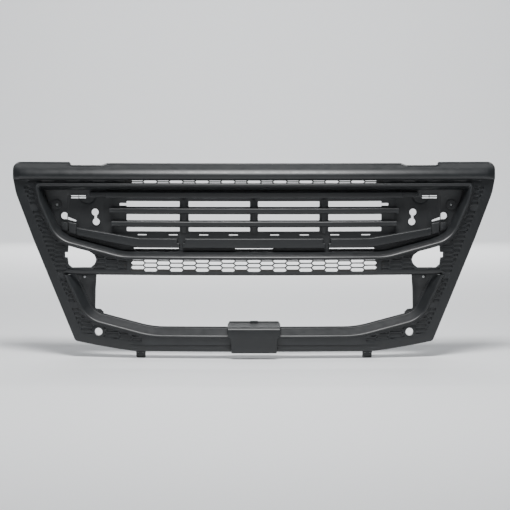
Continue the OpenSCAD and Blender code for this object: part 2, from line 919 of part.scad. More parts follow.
module slat_screws() {
    color(steel) {
        rear_screws(concat(bar_fix, middle_fix, lower_fix), carrier_back_d, 16);
        rear_screws(concat(centre_blade_fix, side_blade_fix, blade_bracket_fix), carrier_back_d, 16);
    }
}

module cover_screws() {
    color(steel) rear_screws([cover_fix], -wall, 16);
}

module boss_screws() {
    seat = face_y(boss_fix[0], carrier_d) + 2.9;
    color(steel) both_sides() {
        peg(boss_fix[0], boss_fix[1], seat - screw_head_t, seat, 5.5);
        peg(boss_fix[0], boss_fix[1], seat - 1, seat + 18, screw_r);
    }
}

module boss_clip_nuts() {
    back = face_y(boss_fix[0], carrier_d) + 8.1;
    color(steel) both_sides() difference() {
        translate([boss_fix[0] - 9, back, boss_fix[1] - 9]) cube([18, 3, 18]);
        peg(boss_fix[0], boss_fix[1], back - 1, back + 5, screw_r + 0.05);
    }
}

// ---- rubber pieces ----

module top_seal() {
    color(rubber) intersection() {
        band([[-44, 20], [-34, 22], [-34, 31.6], [-44, 31.6]]);
        slot_through(-565, 565, 0, 60);
    }
}

module stop_buffers() {
    color(rubber) both_sides() {
        peg(buffer_at[0], buffer_at[1], buffer_seat_y + 0.1, -6, 13);
        peg(buffer_at[0], buffer_at[1], buffer_seat_y - 14, buffer_seat_y + 1, buffer_stem_r);
    }
}

surround_header();
surround_waist();
surround_sill();
surround_side_left();
surround_side_right();
surround_corner_left();
surround_corner_right();
upper_bezel();
lower_bezel_middle();
lower_bezel_slope_left();
lower_bezel_slope_right();
lower_bezel_corner_left();
lower_bezel_corner_right();
carrier_side_left();
carrier_side_right();
carrier_top_rail();
carrier_upper_bar();
carrier_lower_bar();
carrier_bottom_rail();
carrier_mullions();
top_bar();
middle_slat();
lower_slat();
blade_centre();
blade_left();
blade_right();
blade_bracket_left();
blade_bracket_right();
upper_mesh();
lower_mesh();
cheek_left();
cheek_right();
sill_cover();
tongue_left();
tongue_right();
hinge_bracket_left();
hinge_bracket_right();
bracket_bolts();
bracket_nuts();
bezel_screws();
carrier_screws();
slat_screws();
boss_screws();
boss_clip_nuts();
cheek_screws();
cover_screws();
mesh_clips();
tongue_rivets();
top_seal();
stop_buffers();
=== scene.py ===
"""The front grille panel of a heavy truck cab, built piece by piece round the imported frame."""
import math

import bmesh
import bpy
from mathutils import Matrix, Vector, geometry


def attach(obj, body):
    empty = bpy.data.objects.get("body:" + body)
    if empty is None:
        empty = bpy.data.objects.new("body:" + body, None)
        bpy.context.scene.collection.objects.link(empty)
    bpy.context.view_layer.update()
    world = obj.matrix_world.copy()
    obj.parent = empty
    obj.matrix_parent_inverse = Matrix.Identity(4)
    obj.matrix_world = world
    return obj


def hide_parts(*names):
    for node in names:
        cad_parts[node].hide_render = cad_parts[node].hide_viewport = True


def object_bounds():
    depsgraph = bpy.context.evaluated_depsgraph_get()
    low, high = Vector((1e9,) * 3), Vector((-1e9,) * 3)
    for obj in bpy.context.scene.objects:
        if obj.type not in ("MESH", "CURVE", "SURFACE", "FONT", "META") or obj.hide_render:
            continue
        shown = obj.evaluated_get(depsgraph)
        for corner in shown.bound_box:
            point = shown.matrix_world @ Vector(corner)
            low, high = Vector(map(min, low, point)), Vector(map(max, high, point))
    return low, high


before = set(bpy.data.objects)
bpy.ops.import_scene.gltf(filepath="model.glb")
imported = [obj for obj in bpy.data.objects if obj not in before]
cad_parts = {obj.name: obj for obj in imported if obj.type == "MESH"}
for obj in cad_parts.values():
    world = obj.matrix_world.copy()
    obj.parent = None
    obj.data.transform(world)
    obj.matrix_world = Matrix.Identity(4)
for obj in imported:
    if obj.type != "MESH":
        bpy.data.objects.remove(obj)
cad_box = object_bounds()

# ---- Surround ----------------------------------------------------------------
# The one big moulding: a thick-walled, bowed trapezoid tray in grained graphite plastic.
# It has a rolled top edge, a sunk honeycomb relief on its sides and corners, a waist rail
# and a sill, and every other piece is screwed or clipped to it.

MM = 0.001
BOW_R = 6000.0                      # radius of the bow, seen from above
COVER_D = 22.0                      # how far the sill cover, the foremost piece, stands out
FACE_Y = cad_box[0].y / MM + COVER_D
TOP_Z, NOTCH_Z, CENTRE_TOP_Z = 40.0, 28.0, 36.0
ROLL_BOTTOM_Z = -30.0
STRIP_Z = (-41.6, -32.0)            # the upper slot for the honeycomb strip
BEZEL_TOP_Z, BEZEL_BOTTOM_Z = -42.0, -344.0
MESH_OPEN_Z = (-392.0, -346.0)
RAIL_BOTTOM_Z = -408.0
CREST_Z = -657.0
BOTTOM_Z = -712.0
FLANGE_D = -45.0
WALL = 4.0


def on_bow(x, z, d=0.0):
    """The point d millimetres in front of the bowed face, in metres."""
    y = FACE_Y + BOW_R - math.sqrt((BOW_R + d) ** 2 - x * x)
    return Vector((x * MM, y * MM, z * MM))


def mirrored(half):
    """A right half of an outline, joined to its mirror image."""
    return half + [(-x, z) for x, z in reversed(half)]


def inset(points, u):
    """A closed clockwise outline, moved inwards by u."""
    moved = []
    for i, here in enumerate(points):
        here = Vector(here)
        before = (here - Vector(points[i - 1])).normalized()
        after = (Vector(points[(i + 1) % len(points)]) - here).normalized()
        inward = Vector((before.y + after.y, -before.x - after.x))
        moved.append(tuple(here + inward * (2 * u / inward.length_squared)))
    return moved


def corner(a, b, c, r, steps):
    """The arc that rounds the corner b between a and c."""
    a, b, c = Vector(a), Vector(b), Vector(c)
    to_a, to_c = (a - b).normalized(), (c - b).normalized()
    half = to_a.angle(to_c) / 2
    centre = b + (to_a + to_c).normalized() * (r / math.sin(half))
    first = b + to_a * (r / math.tan(half)) - centre
    last = b + to_c * (r / math.tan(half)) - centre
    return [tuple(centre + first.slerp(last, k / steps) * r) for k in range(steps + 1)]


def rounded(points, radii, steps=8):
    """A closed outline with each corner rounded to its own radius."""
    out = []
    for i, p in enumerate(points):
        if radii[i] > 0:
            out += corner(points[i - 1], p, points[(i + 1) % len(points)], radii[i], steps)
        else:
            out.append(p)
    return out


def circle(x, z, r, count=32):
    """A round outline."""
    turn = 2 * math.pi / count
    return [(x + r * math.cos(i * turn), z - r * math.sin(i * turn)) for i in range(count)]


def flip(loop):
    """The mirror image of an outline, still clockwise."""
    return [(-x, z) for x, z in reversed(loop)]


def inside(p, loop):
    """True where a point lies within a closed outline."""
    x, z = p
    odd = False
    for i, (x1, z1) in enumerate(loop):
        x0, z0 = loop[i - 1]
        if (z0 > z) != (z1 > z) and x < (x0 - x1) * (z - z1) / (z0 - z1) + x1:
            odd = not odd
    return odd


def depth_in(p, loop):
    """How far a point lies inside an outline; negative outside it."""
    here = Vector(p)
    nearest = min(
        (here - closest).length
        for closest in (near_on(here, Vector(loop[i - 1]), Vector(loop[i])) for i in range(len(loop)))
    )
    return nearest if inside(p, loop) else -nearest


def near_on(p, a, b):
    """The point of the stretch from a to b that lies nearest to p."""
    along = b - a
    t = max(0.0, min(1.0, (p - a).dot(along) / max(along.length_squared, 1e-9)))
    return a + along * t


def clamp(t):
    """A value held between 0 and 1."""
    return max(0.0, min(1.0, t))


def smooth_step(t):
    """A soft rise from 0 to 1."""
    t = clamp(t)
    return t * t * (3 - 2 * t)


def curve_through(knots, t):
    """The height at t of a smooth curve through (t, height) knots."""
    knots = sorted(knots)
    if t <= knots[0][0]:
        return knots[0][1]
    for i in range(len(knots) - 1):
        (t0, h0), (t1, h1) = knots[i], knots[i + 1]
        if t <= t1:
            slope = []
            for j in (i, i + 1):
                a, b = knots[max(j - 1, 0)], knots[min(j + 1, len(knots) - 1)]
                slope.append((b[1] - a[1]) / (b[0] - a[0]) * (t1 - t0))
            s = (t - t0) / (t1 - t0)
            return (h0 * (1 + 2 * s) * (1 - s) ** 2 + slope[0] * s * (1 - s) ** 2
                    + h1 * s * s * (3 - 2 * s) - slope[1] * s * s * (1 - s))
    return knots[-1][1]


OFF_GRID = 0.013


def tiled(outline, holes, loops, lines):
    """Triangles of a flat outline with holes, cut along further loops and straight lines."""
    points, edges = [], []
    for loop in [outline, *holes, *loops]:
        first = len(points)
        points += loop
        edges += [(first + i, first + (i + 1) % len(loop)) for i in range(len(loop))]
    for a, b in lines:
        edges.append((len(points), len(points) + 1))
        points += [a, b]
    spots, _, tris, *_ = geometry.delaunay_2d_cdt([Vector(p) for p in points], edges, [], 0, 1e-3)
    kept = []
    for tri in tris:
        middle = sum((spots[i] for i in tri), Vector((0, 0))) / 3
        if inside(middle, outline) and not any(inside(middle, hole) for hole in holes):
            kept.append(tuple(tri))
    return [tuple(p) for p in spots], kept


def outer_loop(spots, tris):
    """The outermost boundary of a set of triangles, in the order of their own winding."""
    directed = {(t[i], t[(i + 1) % 3]) for t in tris for i in range(3)}
    following = {a: b for a, b in directed if (b, a) not in directed}
    loops = []
    while following:
        start, here = next(iter(following.items()))
        loop = [start]
        del following[start]
        while here != start:
            loop.append(here)
            here = following.pop(here)
        loops.append(loop)

    def width(loop):
        return max(spots[i][0] for i in loop) - min(spots[i][0] for i in loop)
    return max(loops, key=width)


def new_piece(name, verts, faces, material, smooth_angle=35):
    """An object made of points in metres, shaded smooth below an angle."""
    mesh = bpy.data.meshes.new(name)
    mesh.from_pydata([tuple(v) for v in verts], [], faces)
    mesh.validate()
    piece = bpy.data.objects.new(name, mesh)
    bpy.context.scene.collection.objects.link(piece)
    mesh.materials.append(material)
    shade(piece, smooth_angle)
    return piece


def shade(piece, smooth_angle=35):
    """Smooth shading with sharp edges above an angle."""
    mesh = piece.data
    mesh.polygons.foreach_set("use_smooth", [True] * len(mesh.polygons))
    mesh.set_sharp_from_angle(angle=math.radians(smooth_angle))


def settle(piece):
    """Turns a piece's modifiers into plain mesh."""
    bpy.context.view_layer.update()
    done = bpy.data.meshes.new_from_object(piece.evaluated_get(bpy.context.evaluated_depsgraph_get()))
    piece.modifiers.clear()
    piece.data = done
    return piece


def drop_loose(piece):
    """Takes out points that no face uses."""
    work = bmesh.new()
    work.from_mesh(piece.data)
    bmesh.ops.delete(work, geom=[v for v in work.verts if not v.link_faces], context="VERTS")
    work.to_mesh(piece.data)
    work.free()


def thickened(piece, wall):
    """Gives an open sheet its wall, behind its outer face."""
    drop_loose(piece)
    solid = piece.modifiers.new("wall", "SOLIDIFY")
    solid.thickness, solid.offset = wall * MM, -1
    settle(piece)
    shade(piece)
    return piece


def uprights(outline, step):
    """Upright lines across an outline, a hair off its round places so that no two points meet."""
    xs, zs = [x for x, _ in outline], [z for _, z in outline]
    places = [k * step + OFF_GRID for k in range(math.ceil(min(xs) / step), math.floor(max(xs) / step) + 1)]
    return [((x, min(zs) - 1), (x, max(zs) + 1)) for x in places]


SHARPEST = 0.3                      # keeps the edge of a very sharp corner from running off


def tray(name, outline, back_at, edge_r, wall, material, face, holes=(), loops=(), lines=(), step=30):
    """A tray: a shaped front within an outline, edges rounded outwards and a flange to a back."""
    spots, tris = tiled(outline, list(holes), list(loops), list(lines) + uprights(outline, step))
    height = [face(x, z) for x, z in spots]
    verts = [on_bow(x, z, h) for (x, z), h in zip(spots, height)]
    faces = list(tris)
    rim = outer_loop(spots, tris)
    rings = [rim]
    bends = 4
    for k in range(1, bends + 2):
        turn = min(k / bends, 1) * math.pi / 2
        ring = []
        for i, v in enumerate(rim):
            here = Vector(spots[v])
            before = (here - Vector(spots[rim[i - 1]])).normalized()
            after = (Vector(spots[rim[(i + 1) % len(rim)]]) - here).normalized()
            side, next_side = Vector((before.y, -before.x)), Vector((after.y, -after.x))
            out = (side + next_side) / max(SHARPEST, 1 + side.dot(next_side))
            p = here + out * (edge_r * math.sin(turn))
            d = height[v] - edge_r * (1 - math.cos(turn)) if k <= bends else back_at(p.x, p.y)
            ring.append(len(verts))
            verts.append(on_bow(p.x, p.y, d))
        rings.append(ring)
    for a, b in zip(rings, rings[1:]):
        faces += [(a[(i + 1) % len(a)], a[i], b[i], b[(i + 1) % len(a)]) for i in range(len(a))]
    return thickened(new_piece(name, verts, faces, material), wall)


def level(d):
    """A back that lies at one depth all over."""
    return lambda x, z: d


def nodes_named(start):
    """The frame's nodes whose names begin with a word."""
    return sorted(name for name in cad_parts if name.startswith(start))


def fit(piece, slot_name, *replaced):
    """Fixes a finished piece to the panel, in place of its plain solids."""
    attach(piece, "root")
    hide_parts(*replaced)


def moulded_plastic(name, colour, roughness, grain=0.12, dust_and_top_light=0.03):
    """Grained moulded plastic: fine leather grain, faint blotches, rubbed edges, and dust with painted top
    light on up-facing faces.
    """
    material = bpy.data.materials.new(name)
    material.use_nodes = True
    tree = material.node_tree
    link, node = tree.links.new, tree.nodes.new
    shader = tree.nodes["Principled BSDF"]
    place = node("ShaderNodeTexCoord")

    def noise(scale, detail=3.0, rough=0.55):
        out = node("ShaderNodeTexNoise")
        out.inputs["Scale"].default_value = scale
        out.inputs["Detail"].default_value = detail
        out.inputs["Roughness"].default_value = rough
        link(place.outputs["Object"], out.inputs["Vector"])
        return out

    def ranged(source, low, high, new_low=0.0, new_high=1.0):
        out = node("ShaderNodeMapRange")
        for key, value in zip(("From Min", "From Max", "To Min", "To Max"), (low, high, new_low, new_high)):
            out.inputs[key].default_value = value
        link(source, out.inputs["Value"])
        return out.outputs["Result"]

    def mixed(factor, first, second):
        out = node("ShaderNodeMix")
        out.data_type = "RGBA"
        link(factor, out.inputs["Factor"])
        for socket, value in ((out.inputs["A"], first), (out.inputs["B"], second)):
            if hasattr(value, "is_linked"):
                link(value, socket)
            else:
                socket.default_value = (*value, 1.0)
        return out.outputs["Result"]

    blotch = noise(4.0)
    fine = noise(950.0, 2.0, 0.5)
    pebble = noise(330.0, 2.0, 0.4)
    streak = noise(38.0, 4.0, 0.65)
    shape = node("ShaderNodeNewGeometry")
    split = node("ShaderNodeSeparateXYZ")
    link(shape.outputs["Normal"], split.inputs[0])
    rubbed = ranged(shape.outputs["Pointiness"], 0.52, 0.62, 0.0, 0.45)
    # up-facing faces drift towards pale grey in streaky patches: partly dust, partly painted light from above
    up_facing_dust_and_light = ranged(split.outputs["Z"], 0.25, 1.0, 0.0, dust_and_top_light)
    patchy_dust_and_top_light = node("ShaderNodeMath")
    patchy_dust_and_top_light.operation = "MULTIPLY"
    link(up_facing_dust_and_light, patchy_dust_and_top_light.inputs[0])
    link(ranged(streak.outputs["Fac"], 0.35, 0.7, 0.5, 1.0), patchy_dust_and_top_light.inputs[1])
    darker = tuple(c * 0.86 for c in colour)
    lighter = tuple(c * 1.14 for c in colour)
    curvature_tone = tuple(c * 2.2 + 0.01 for c in colour)
    base = mixed(ranged(blotch.outputs["Fac"], 0.3, 0.7), darker, lighter)
    base = mixed(rubbed, base, curvature_tone)
    base = mixed(patchy_dust_and_top_light.outputs[0], base, (0.30, 0.30, 0.31))
    link(base, shader.inputs["Base Color"])
    link(ranged(streak.outputs["Fac"], 0.3, 0.75, roughness - 0.06, roughness + 0.07),
         shader.inputs["Roughness"])
    shader.inputs["Specular IOR Level"].default_value = 0.5
    relief = node("ShaderNodeMath")
    relief.operation = "ADD"
    link(fine.outputs["Fac"], relief.inputs[0])
    link(pebble.outputs["Fac"], relief.inputs[1])
    bump = node("ShaderNodeBump")
    bump.inputs["Strength"].default_value = grain
    bump.inputs["Distance"].default_value = 0.0004
    link(relief.outputs[0], bump.inputs["Height"])
    link(bump.outputs["Normal"], shader.inputs["Normal"])
    return material


face_plastic = moulded_plastic("graphite_face_plastic", (0.0115, 0.0127, 0.0138), 0.40)

half_outline = [(582, CENTRE_TOP_Z), (606, NOTCH_Z), (726, NOTCH_Z), (734, TOP_Z), (960, TOP_Z),
                (960, ROLL_BOTTOM_Z), (950, -84), (880, -270), (715, -674), (628, -690),
                (540, -704), (476, BOTTOM_Z)]
EDGE_R = 5.0                        # rounding all along the outer edge
half_radii = [2, 13, 10, 2, 21, 55, 195, 595, 14, 60, 60, 60]
body_outline = rounded(inset(mirrored(half_outline), EDGE_R), half_radii + half_radii[::-1])


def upper_ring(u, steps=12):
    """The outline of the upper window's bezel, u in from its outer edge."""
    sharp = mirrored([(876, BEZEL_TOP_Z), (859, -120), (790, -274), (525, BEZEL_BOTTOM_Z)])
    radii = [max(r - u, 4) for r in (16, 200, 120, 260)]
    return rounded(inset(sharp, u), radii + radii[::-1], steps)


def lower_path(u, steps=12):
    """The U-shaped edge of the lower bezel, u in from its outer edge, right end first."""
    top_z = 60.0                    # the outline is closed far above the rail, where it isn't used
    sharp = mirrored([(757 + 0.44 * (top_z + 396), top_z), (672, -590), (410, CREST_Z)])
    radii = [0, max(120 - u, 4), max(420 - u, 4)]
    return rounded(inset(sharp, u), radii + radii[::-1], steps)


side_hole = [(738, -292), (740, -318), (752, -318), (752, -338), (742, -338), (738, -366),
             (724, -378), (648, -377), (632, -362), (627, -346), (634, -328), (655, -314), (700, -303)]
side_hole = rounded(side_hole, [2, 2, 2, 2, 2, 3, 4, 6, 8, 8, 8, 10, 2], 3)
corner_bore = (620.0, -635.0)
corner_bore_r = 15.5

# the honeycomb lattice, shared by the relief and the open strips
CELL_X, CELL_Z, CELL_WEB, CELL_SLANT = 51.2, 18.0, 5.0, 9.0
LATTICE_Z = -368.0


def cell_shape(shrink=0.0):
    """(half height, half width at the tip, half width of the flats) of a cell."""
    h = (CELL_Z - CELL_WEB) / 2
    rise = CELL_Z / 2
    lean = math.hypot(rise, CELL_SLANT) / rise
    tip = (CELL_X + CELL_SLANT) / 2 - (CELL_WEB / 2 + shrink) * lean
    h -= shrink
    return h, tip, tip - h * CELL_SLANT / rise


def cell_loop(x, z, shrink=0.0):
    """The hexagon of the cell at a place."""
    h, tip, flat = cell_shape(shrink)
    return [(x - flat, z + h), (x + flat, z + h), (x + tip, z), (x + flat, z - h),
            (x - flat, z - h), (x - tip, z)]


def cells_near(x0, x1, z0, z1):
    """Centres of the lattice's cells within a box."""
    found = []
    for i in range(math.floor(x0 / CELL_X), math.ceil(x1 / CELL_X) + 1):
        shift = LATTICE_Z + (CELL_Z / 2 if i % 2 else 0.0)
        for k in range(math.floor((z0 - shift) / CELL_Z), math.ceil((z1 - shift) / CELL_Z) + 1):
            found.append((i * CELL_X, shift + k * CELL_Z))
    return found


POCKET_WALL = 2.4                   # width of a pocket's sloped wall
CELL_H, CELL_TIP, CELL_FLAT = cell_shape()
CELL_SIDE = math.hypot(CELL_H, CELL_TIP - CELL_FLAT)


def in_cell(x, z):
    """How deep a point lies in the nearest cell, from 0 on a web to 1 on the floor."""
    best = 0.0
    for i in (math.floor(x / CELL_X), math.ceil(x / CELL_X)):
        shift = LATTICE_Z + (CELL_Z / 2 if i % 2 else 0.0)
        u = abs(x - i * CELL_X)
        v = abs(z - shift - round((z - shift) / CELL_Z) * CELL_Z)
        slanted = ((CELL_TIP - u) * CELL_H - v * (CELL_TIP - CELL_FLAT)) / CELL_SIDE
        best = max(best, min(CELL_H - v, slanted))
    return clamp(best / POCKET_WALL)


RIM_W = 38.0                        # smooth rim between the relief and the outer edge
RELIEF_END_X = 445.0
outer_edge = [p for p in rounded(inset(mirrored(half_outline), RIM_W), [0] * 5 + [30, 150, 500, 12]
                                 + [40, 40, 40] + [40, 40, 40] + [12, 500, 150, 30] + [0] * 5, 6)
              if p[0] > RELIEF_END_X and p[1] < -56]
lower_edge = [p for p in lower_path(-7) if p[0] > RELIEF_END_X and p[1] < -398]
upper_edge = [p for p in upper_ring(-6) if p[0] > 506 and p[1] < -56]
relief_region = ([(886, -56), (917, -56)] + outer_edge
                 + [(RELIEF_END_X, outer_edge[-1][1] + 1)]
                 + [(RELIEF_END_X, lower_edge[-1][1] - 6)] + lower_edge[::-1]
                 + [(762, -402), (745, -388), (504, -388), (504, -352)] + upper_edge[::-1])
groove = [(520, -41), (520, -33), (905, -33), (905, -41)]
hole_guard = inset(side_hole, -7)
bore_guard = circle(*corner_bore, corner_bore_r + 10)

roll_knots = [(TOP_Z + 2, -37), (TOP_Z, -34), (CENTRE_TOP_Z, -28.5), (22, -7.5), (12, 7), (0, 16.5),
              (-9, 20.5), (-15, 21), (-21, 19.5), (-26, 15.5), (-29.6, 8)]


def surround_face(x, z):
    """How far the surround's front stands out at a place."""
    ax = abs(x)
    if z > ROLL_BOTTOM_Z + 0.2:
        end = smooth_step((958 - ax) / 34)
        out = curve_through(roll_knots, z)
        return out if out < 0 else out * (0.35 + 0.65 * end)
    if z > ROLL_BOTTOM_Z - 3:
        return 0.0
    d = 0.0
    if -705 < z < -40 and ax > RELIEF_END_X - 20:
        sunk = clamp(depth_in((ax, z), relief_region) / POCKET_WALL)
        if sunk > 0:
            sunk = min(sunk, clamp(-depth_in((ax, z), hole_guard) / POCKET_WALL),
                       clamp(-depth_in((ax, z), bore_guard) / POCKET_WALL))
        d -= sunk * (0.9 + 3.6 * in_cell(x, z))
    if ax > 518 and -42 < z < -32:
        sunk = clamp(depth_in((ax, z), groove) / POCKET_WALL)
        d -= sunk * (1.6 + 1.6 * in_cell(x, z))
    if ax < 752 and RAIL_BOTTOM_Z - 1 < z < RAIL_BOTTOM_Z + 14:
        d -= 15 * (1 - math.sqrt(max(0.0, 1 - ((RAIL_BOTTOM_Z + 14 - z) / 14.5) ** 2)))
    ring = math.hypot(ax - corner_bore[0], z - corner_bore[1])
    if ring < corner_bore_r + 6:
        d += 1.6 * clamp((corner_bore_r + 6 - ring) / 1.5)
    if ax < 520 and BOTTOM_Z < z < -640:
        fade = smooth_step((500 - ax) / 30)
        d -= fade * 3.0 * clamp(min(-687 - z, z + 697) / 1.5 + 0.5)
    return d


relief_loops = []
for cx, cz in cells_near(430, 930, -700, -50):
    if depth_in((cx, cz), relief_region) > -28:
        for shrink in (0.0, POCKET_WALL):
            loop = cell_loop(cx, cz, shrink)
            if any(inside(p, relief_region) for p in loop):
                relief_loops += [loop, flip(loop)]
for cx, cz in cells_near(520, 905, -46, -28):
    for shrink in (0.0, POCKET_WALL):
        loop = cell_loop(cx, cz, shrink)
        held = [(x, min(max(z, -41), -33)) for x, z in loop]
        if 522 < cx < 900 and max(z for _, z in held) - min(z for _, z in held) > 2:
            relief_loops += [held, flip(held)]
for loop in (relief_region, inset(relief_region, POCKET_WALL), hole_guard, inset(hole_guard, -POCKET_WALL),
             groove, inset(groove, POCKET_WALL)):
    relief_loops += [loop, flip(loop)]
for grow in (1.0, 4.5, 6.0, 10.0, 11.5):
    for side in (1, -1):
        relief_loops.append(circle(side * corner_bore[0], corner_bore[1], corner_bore_r + grow))

levels = [TOP_Z - 2, CENTRE_TOP_Z - 2, 30, 26, 22, 17, 12, 7, 2, -3, -7, -11, -15, -18, -21, -24, -26,
          -28, -29.3, -29.9, -31.5]
face_lines = [((-970, z), (970, z)) for z in levels]
for k in range(1, 8):
    z = RAIL_BOTTOM_Z + 14 * (1 - math.sin(k * math.pi / 16))
    face_lines.append(((-750, z), (750, z)))
face_lines += [((-505, z), (505, z)) for z in (-685.5, -687.7, -688.5, -695.5, -696.2, -697.7)]
face_lines += [((x * s, -35), (x * s, TOP_Z - 1)) for x in (928, 936, 944, 950) for s in (1, -1)]

# the openings: the lower window ends under the waist rail
BEZEL_LAP = 9.5                     # how far the bezels lie over the edge of their windows
lower_x = 752 - BEZEL_LAP * 1.09
lower_hole = ([(lower_x, RAIL_BOTTOM_Z)] + [p for p in lower_path(BEZEL_LAP) if p[1] < RAIL_BOTTOM_Z - 1]
              + [(-lower_x, RAIL_BOTTOM_Z)])
face_holes = [upper_ring(BEZEL_LAP), lower_hole, side_hole, flip(side_hole),
              [(-512, STRIP_Z[0]), (-512, STRIP_Z[1]), (512, STRIP_Z[1]), (512, STRIP_Z[0])],
              [(-488, MESH_OPEN_Z[0]), (-488, MESH_OPEN_Z[1]), (488, MESH_OPEN_Z[1]), (488, MESH_OPEN_Z[0])]]
face_holes += [circle(s * corner_bore[0], corner_bore[1], corner_bore_r) for s in (1, -1)]

surround_parts = [tray("surround", body_outline, level(FLANGE_D), EDGE_R, WALL, face_plastic, surround_face,
                       face_holes, relief_loops, face_lines)]


def outward(piece):
    """Turns every face of a closed piece outwards."""
    work = bmesh.new()
    work.from_mesh(piece.data)
    bmesh.ops.recalc_face_normals(work, faces=work.faces)
    work.to_mesh(piece.data)
    work.free()


def box_loop(x0, x1, z0, z1):
    """A clockwise oblong outline."""
    return [(x0, z0), (x0, z1), (x1, z1), (x1, z0)]


def plate(name, outline, front_d, back_d, material, holes=(), face=None, loops=(), lines=(), bevel=0.7,
          step=30):
    """A bowed plate between two depths, with holes, an optional relief and softened edges."""
    spots, tris = tiled(outline, list(holes), list(loops), list(lines) + uprights(outline, step))
    count = len(spots)
    front = [on_bow(x, z, front_d + (face(x, z) if face else 0.0)) for x, z in spots]
    back = [on_bow(x, z, back_d) for x, z in spots]
    faces = list(tris) + [(c + count, b + count, a + count) for a, b, c in tris]
    directed = {(t[i], t[(i + 1) % 3]) for t in tris for i in range(3)}
    faces += [(b, a, a + count, b + count) for a, b in directed if (b, a) not in directed]
    piece = new_piece(name, front + back, faces, material)
    drop_loose(piece)
    outward(piece)
    if bevel:
        soften(piece, bevel)
    shade(piece)
    return piece


def flat_prism(name, loop, holes, low, high, place, material, bevel=0.8):
    """A flat sheet between two levels, put in place by a function of (a, b, level)."""
    spots, tris = tiled(loop, list(holes), [], [])
    count = len(spots)
    verts = [Vector(place(a, b, h)) * MM for h in (high, low) for a, b in spots]
    faces = list(tris) + [(c + count, b + count, a + count) for a, b, c in tris]
    directed = {(t[i], t[(i + 1) % 3]) for t in tris for i in range(3)}
    faces += [(b, a, a + count, b + count) for a, b in directed if (b, a) not in directed]
    piece = new_piece(name, verts, faces, material)
    drop_loose(piece)
    outward(piece)
    soften(piece, bevel)
    shade(piece)
    return piece


def soften(piece, width, segments=2, angle=40):
    """Rounds a piece's sharp edges by a width in millimetres."""
    bevel = piece.modifiers.new("soft_edges", "BEVEL")
    bevel.width, bevel.segments, bevel.limit_method = width * MM, segments, "ANGLE"
    bevel.angle_limit = math.radians(angle)
    bevel.harden_normals = False
    settle(piece)


def joined(name, parts):
    """Several helper pieces made into one object."""
    work = bmesh.new()
    for part in parts:
        work.from_mesh(part.data)
    mesh = bpy.data.meshes.new(name)
    work.to_mesh(mesh)
    work.free()
    whole = bpy.data.objects.new(name, mesh)
    bpy.context.scene.collection.objects.link(whole)
    for material in parts[0].data.materials:
        mesh.materials.append(material)
    for part in parts:
        bpy.data.objects.remove(part)
    shade(whole)
    return whole


def turned(name, x, z, rings, material, segments=40, axis_y=0.0, bored=True, sharp=40):
    """A round piece along Y through (radius, y) rings, closed round its bore or capped at its ends.

    A radius may also be a function of the angle.
    """
    verts, faces = [], []
    for r, y in rings:
        for i in range(segments):
            a = 2 * math.pi * i / segments
            here = r(a) if callable(r) else r
            verts.append(((x + here * math.cos(a)) * MM, (y + axis_y) * MM, (z + here * math.sin(a)) * MM))
    m = len(rings)
    for j in range(m if bored else m - 1):
        for i in range(segments):
            k, n = (i + 1) % segments, (j + 1) % m
            faces.append((j * segments + i, j * segments + k, n * segments + k, n * segments + i))
    if not bored:
        faces += [tuple(reversed(range(segments))), tuple((m - 1) * segments + i for i in range(segments))]
    piece = new_piece(name, verts, faces, material)
    outward(piece)
    shade(piece, sharp)
    return piece


def both(make):
    """What a function makes for the right side, and the same for the left."""
    return [make(1), make(-1)]


def face_y(x, d):
    """The Y, in millimetres, of the point d in front of the bowed face."""
    return on_bow(x, 0, d).y / MM


# the rear side: bore collars, buffer posts, hinge ribs, cheek arms, studs and stiffening ribs
HINGE_X = 660.0
HINGE_RIB_REACH = 34.4
HINGE_RIB = [(-42, -27), (-42, 24), (-14, 22), (2, 10.5), (11, -1), (14.5, -10), (13.5, -22), (9, -27)]
BUFFER = (790, -440)
CHEEK_ARM = (668, 688)
STUDS = ((256, -46.3), (524, -38), (250, -401), (504, -352), (504, -388))
RIB_HALF_T = 1.1
STIFF_RIBS = (((905, -100), (868, -112)), ((888, -160), (840, -190)), ((862, -230), (806, -258)),
              ((836, -300), (764, -326)), ((808, -368), (762, -372)), ((790, -420), (752, -440)),
              ((768, -480), (728, -488)), ((742, -540), (706, -545)), ((716, -600), (668, -606)),
              ((700, -640), (660, -634)), ((640, -672), (628, -656)), ((540, -690), (548, -640)),
              ((480, -700), (486, -628)), ((400, -704), (400, -664)), ((300, -704), (300, -664)),
              ((200, -704), (200, -664)), ((130, -704), (130, -664)))


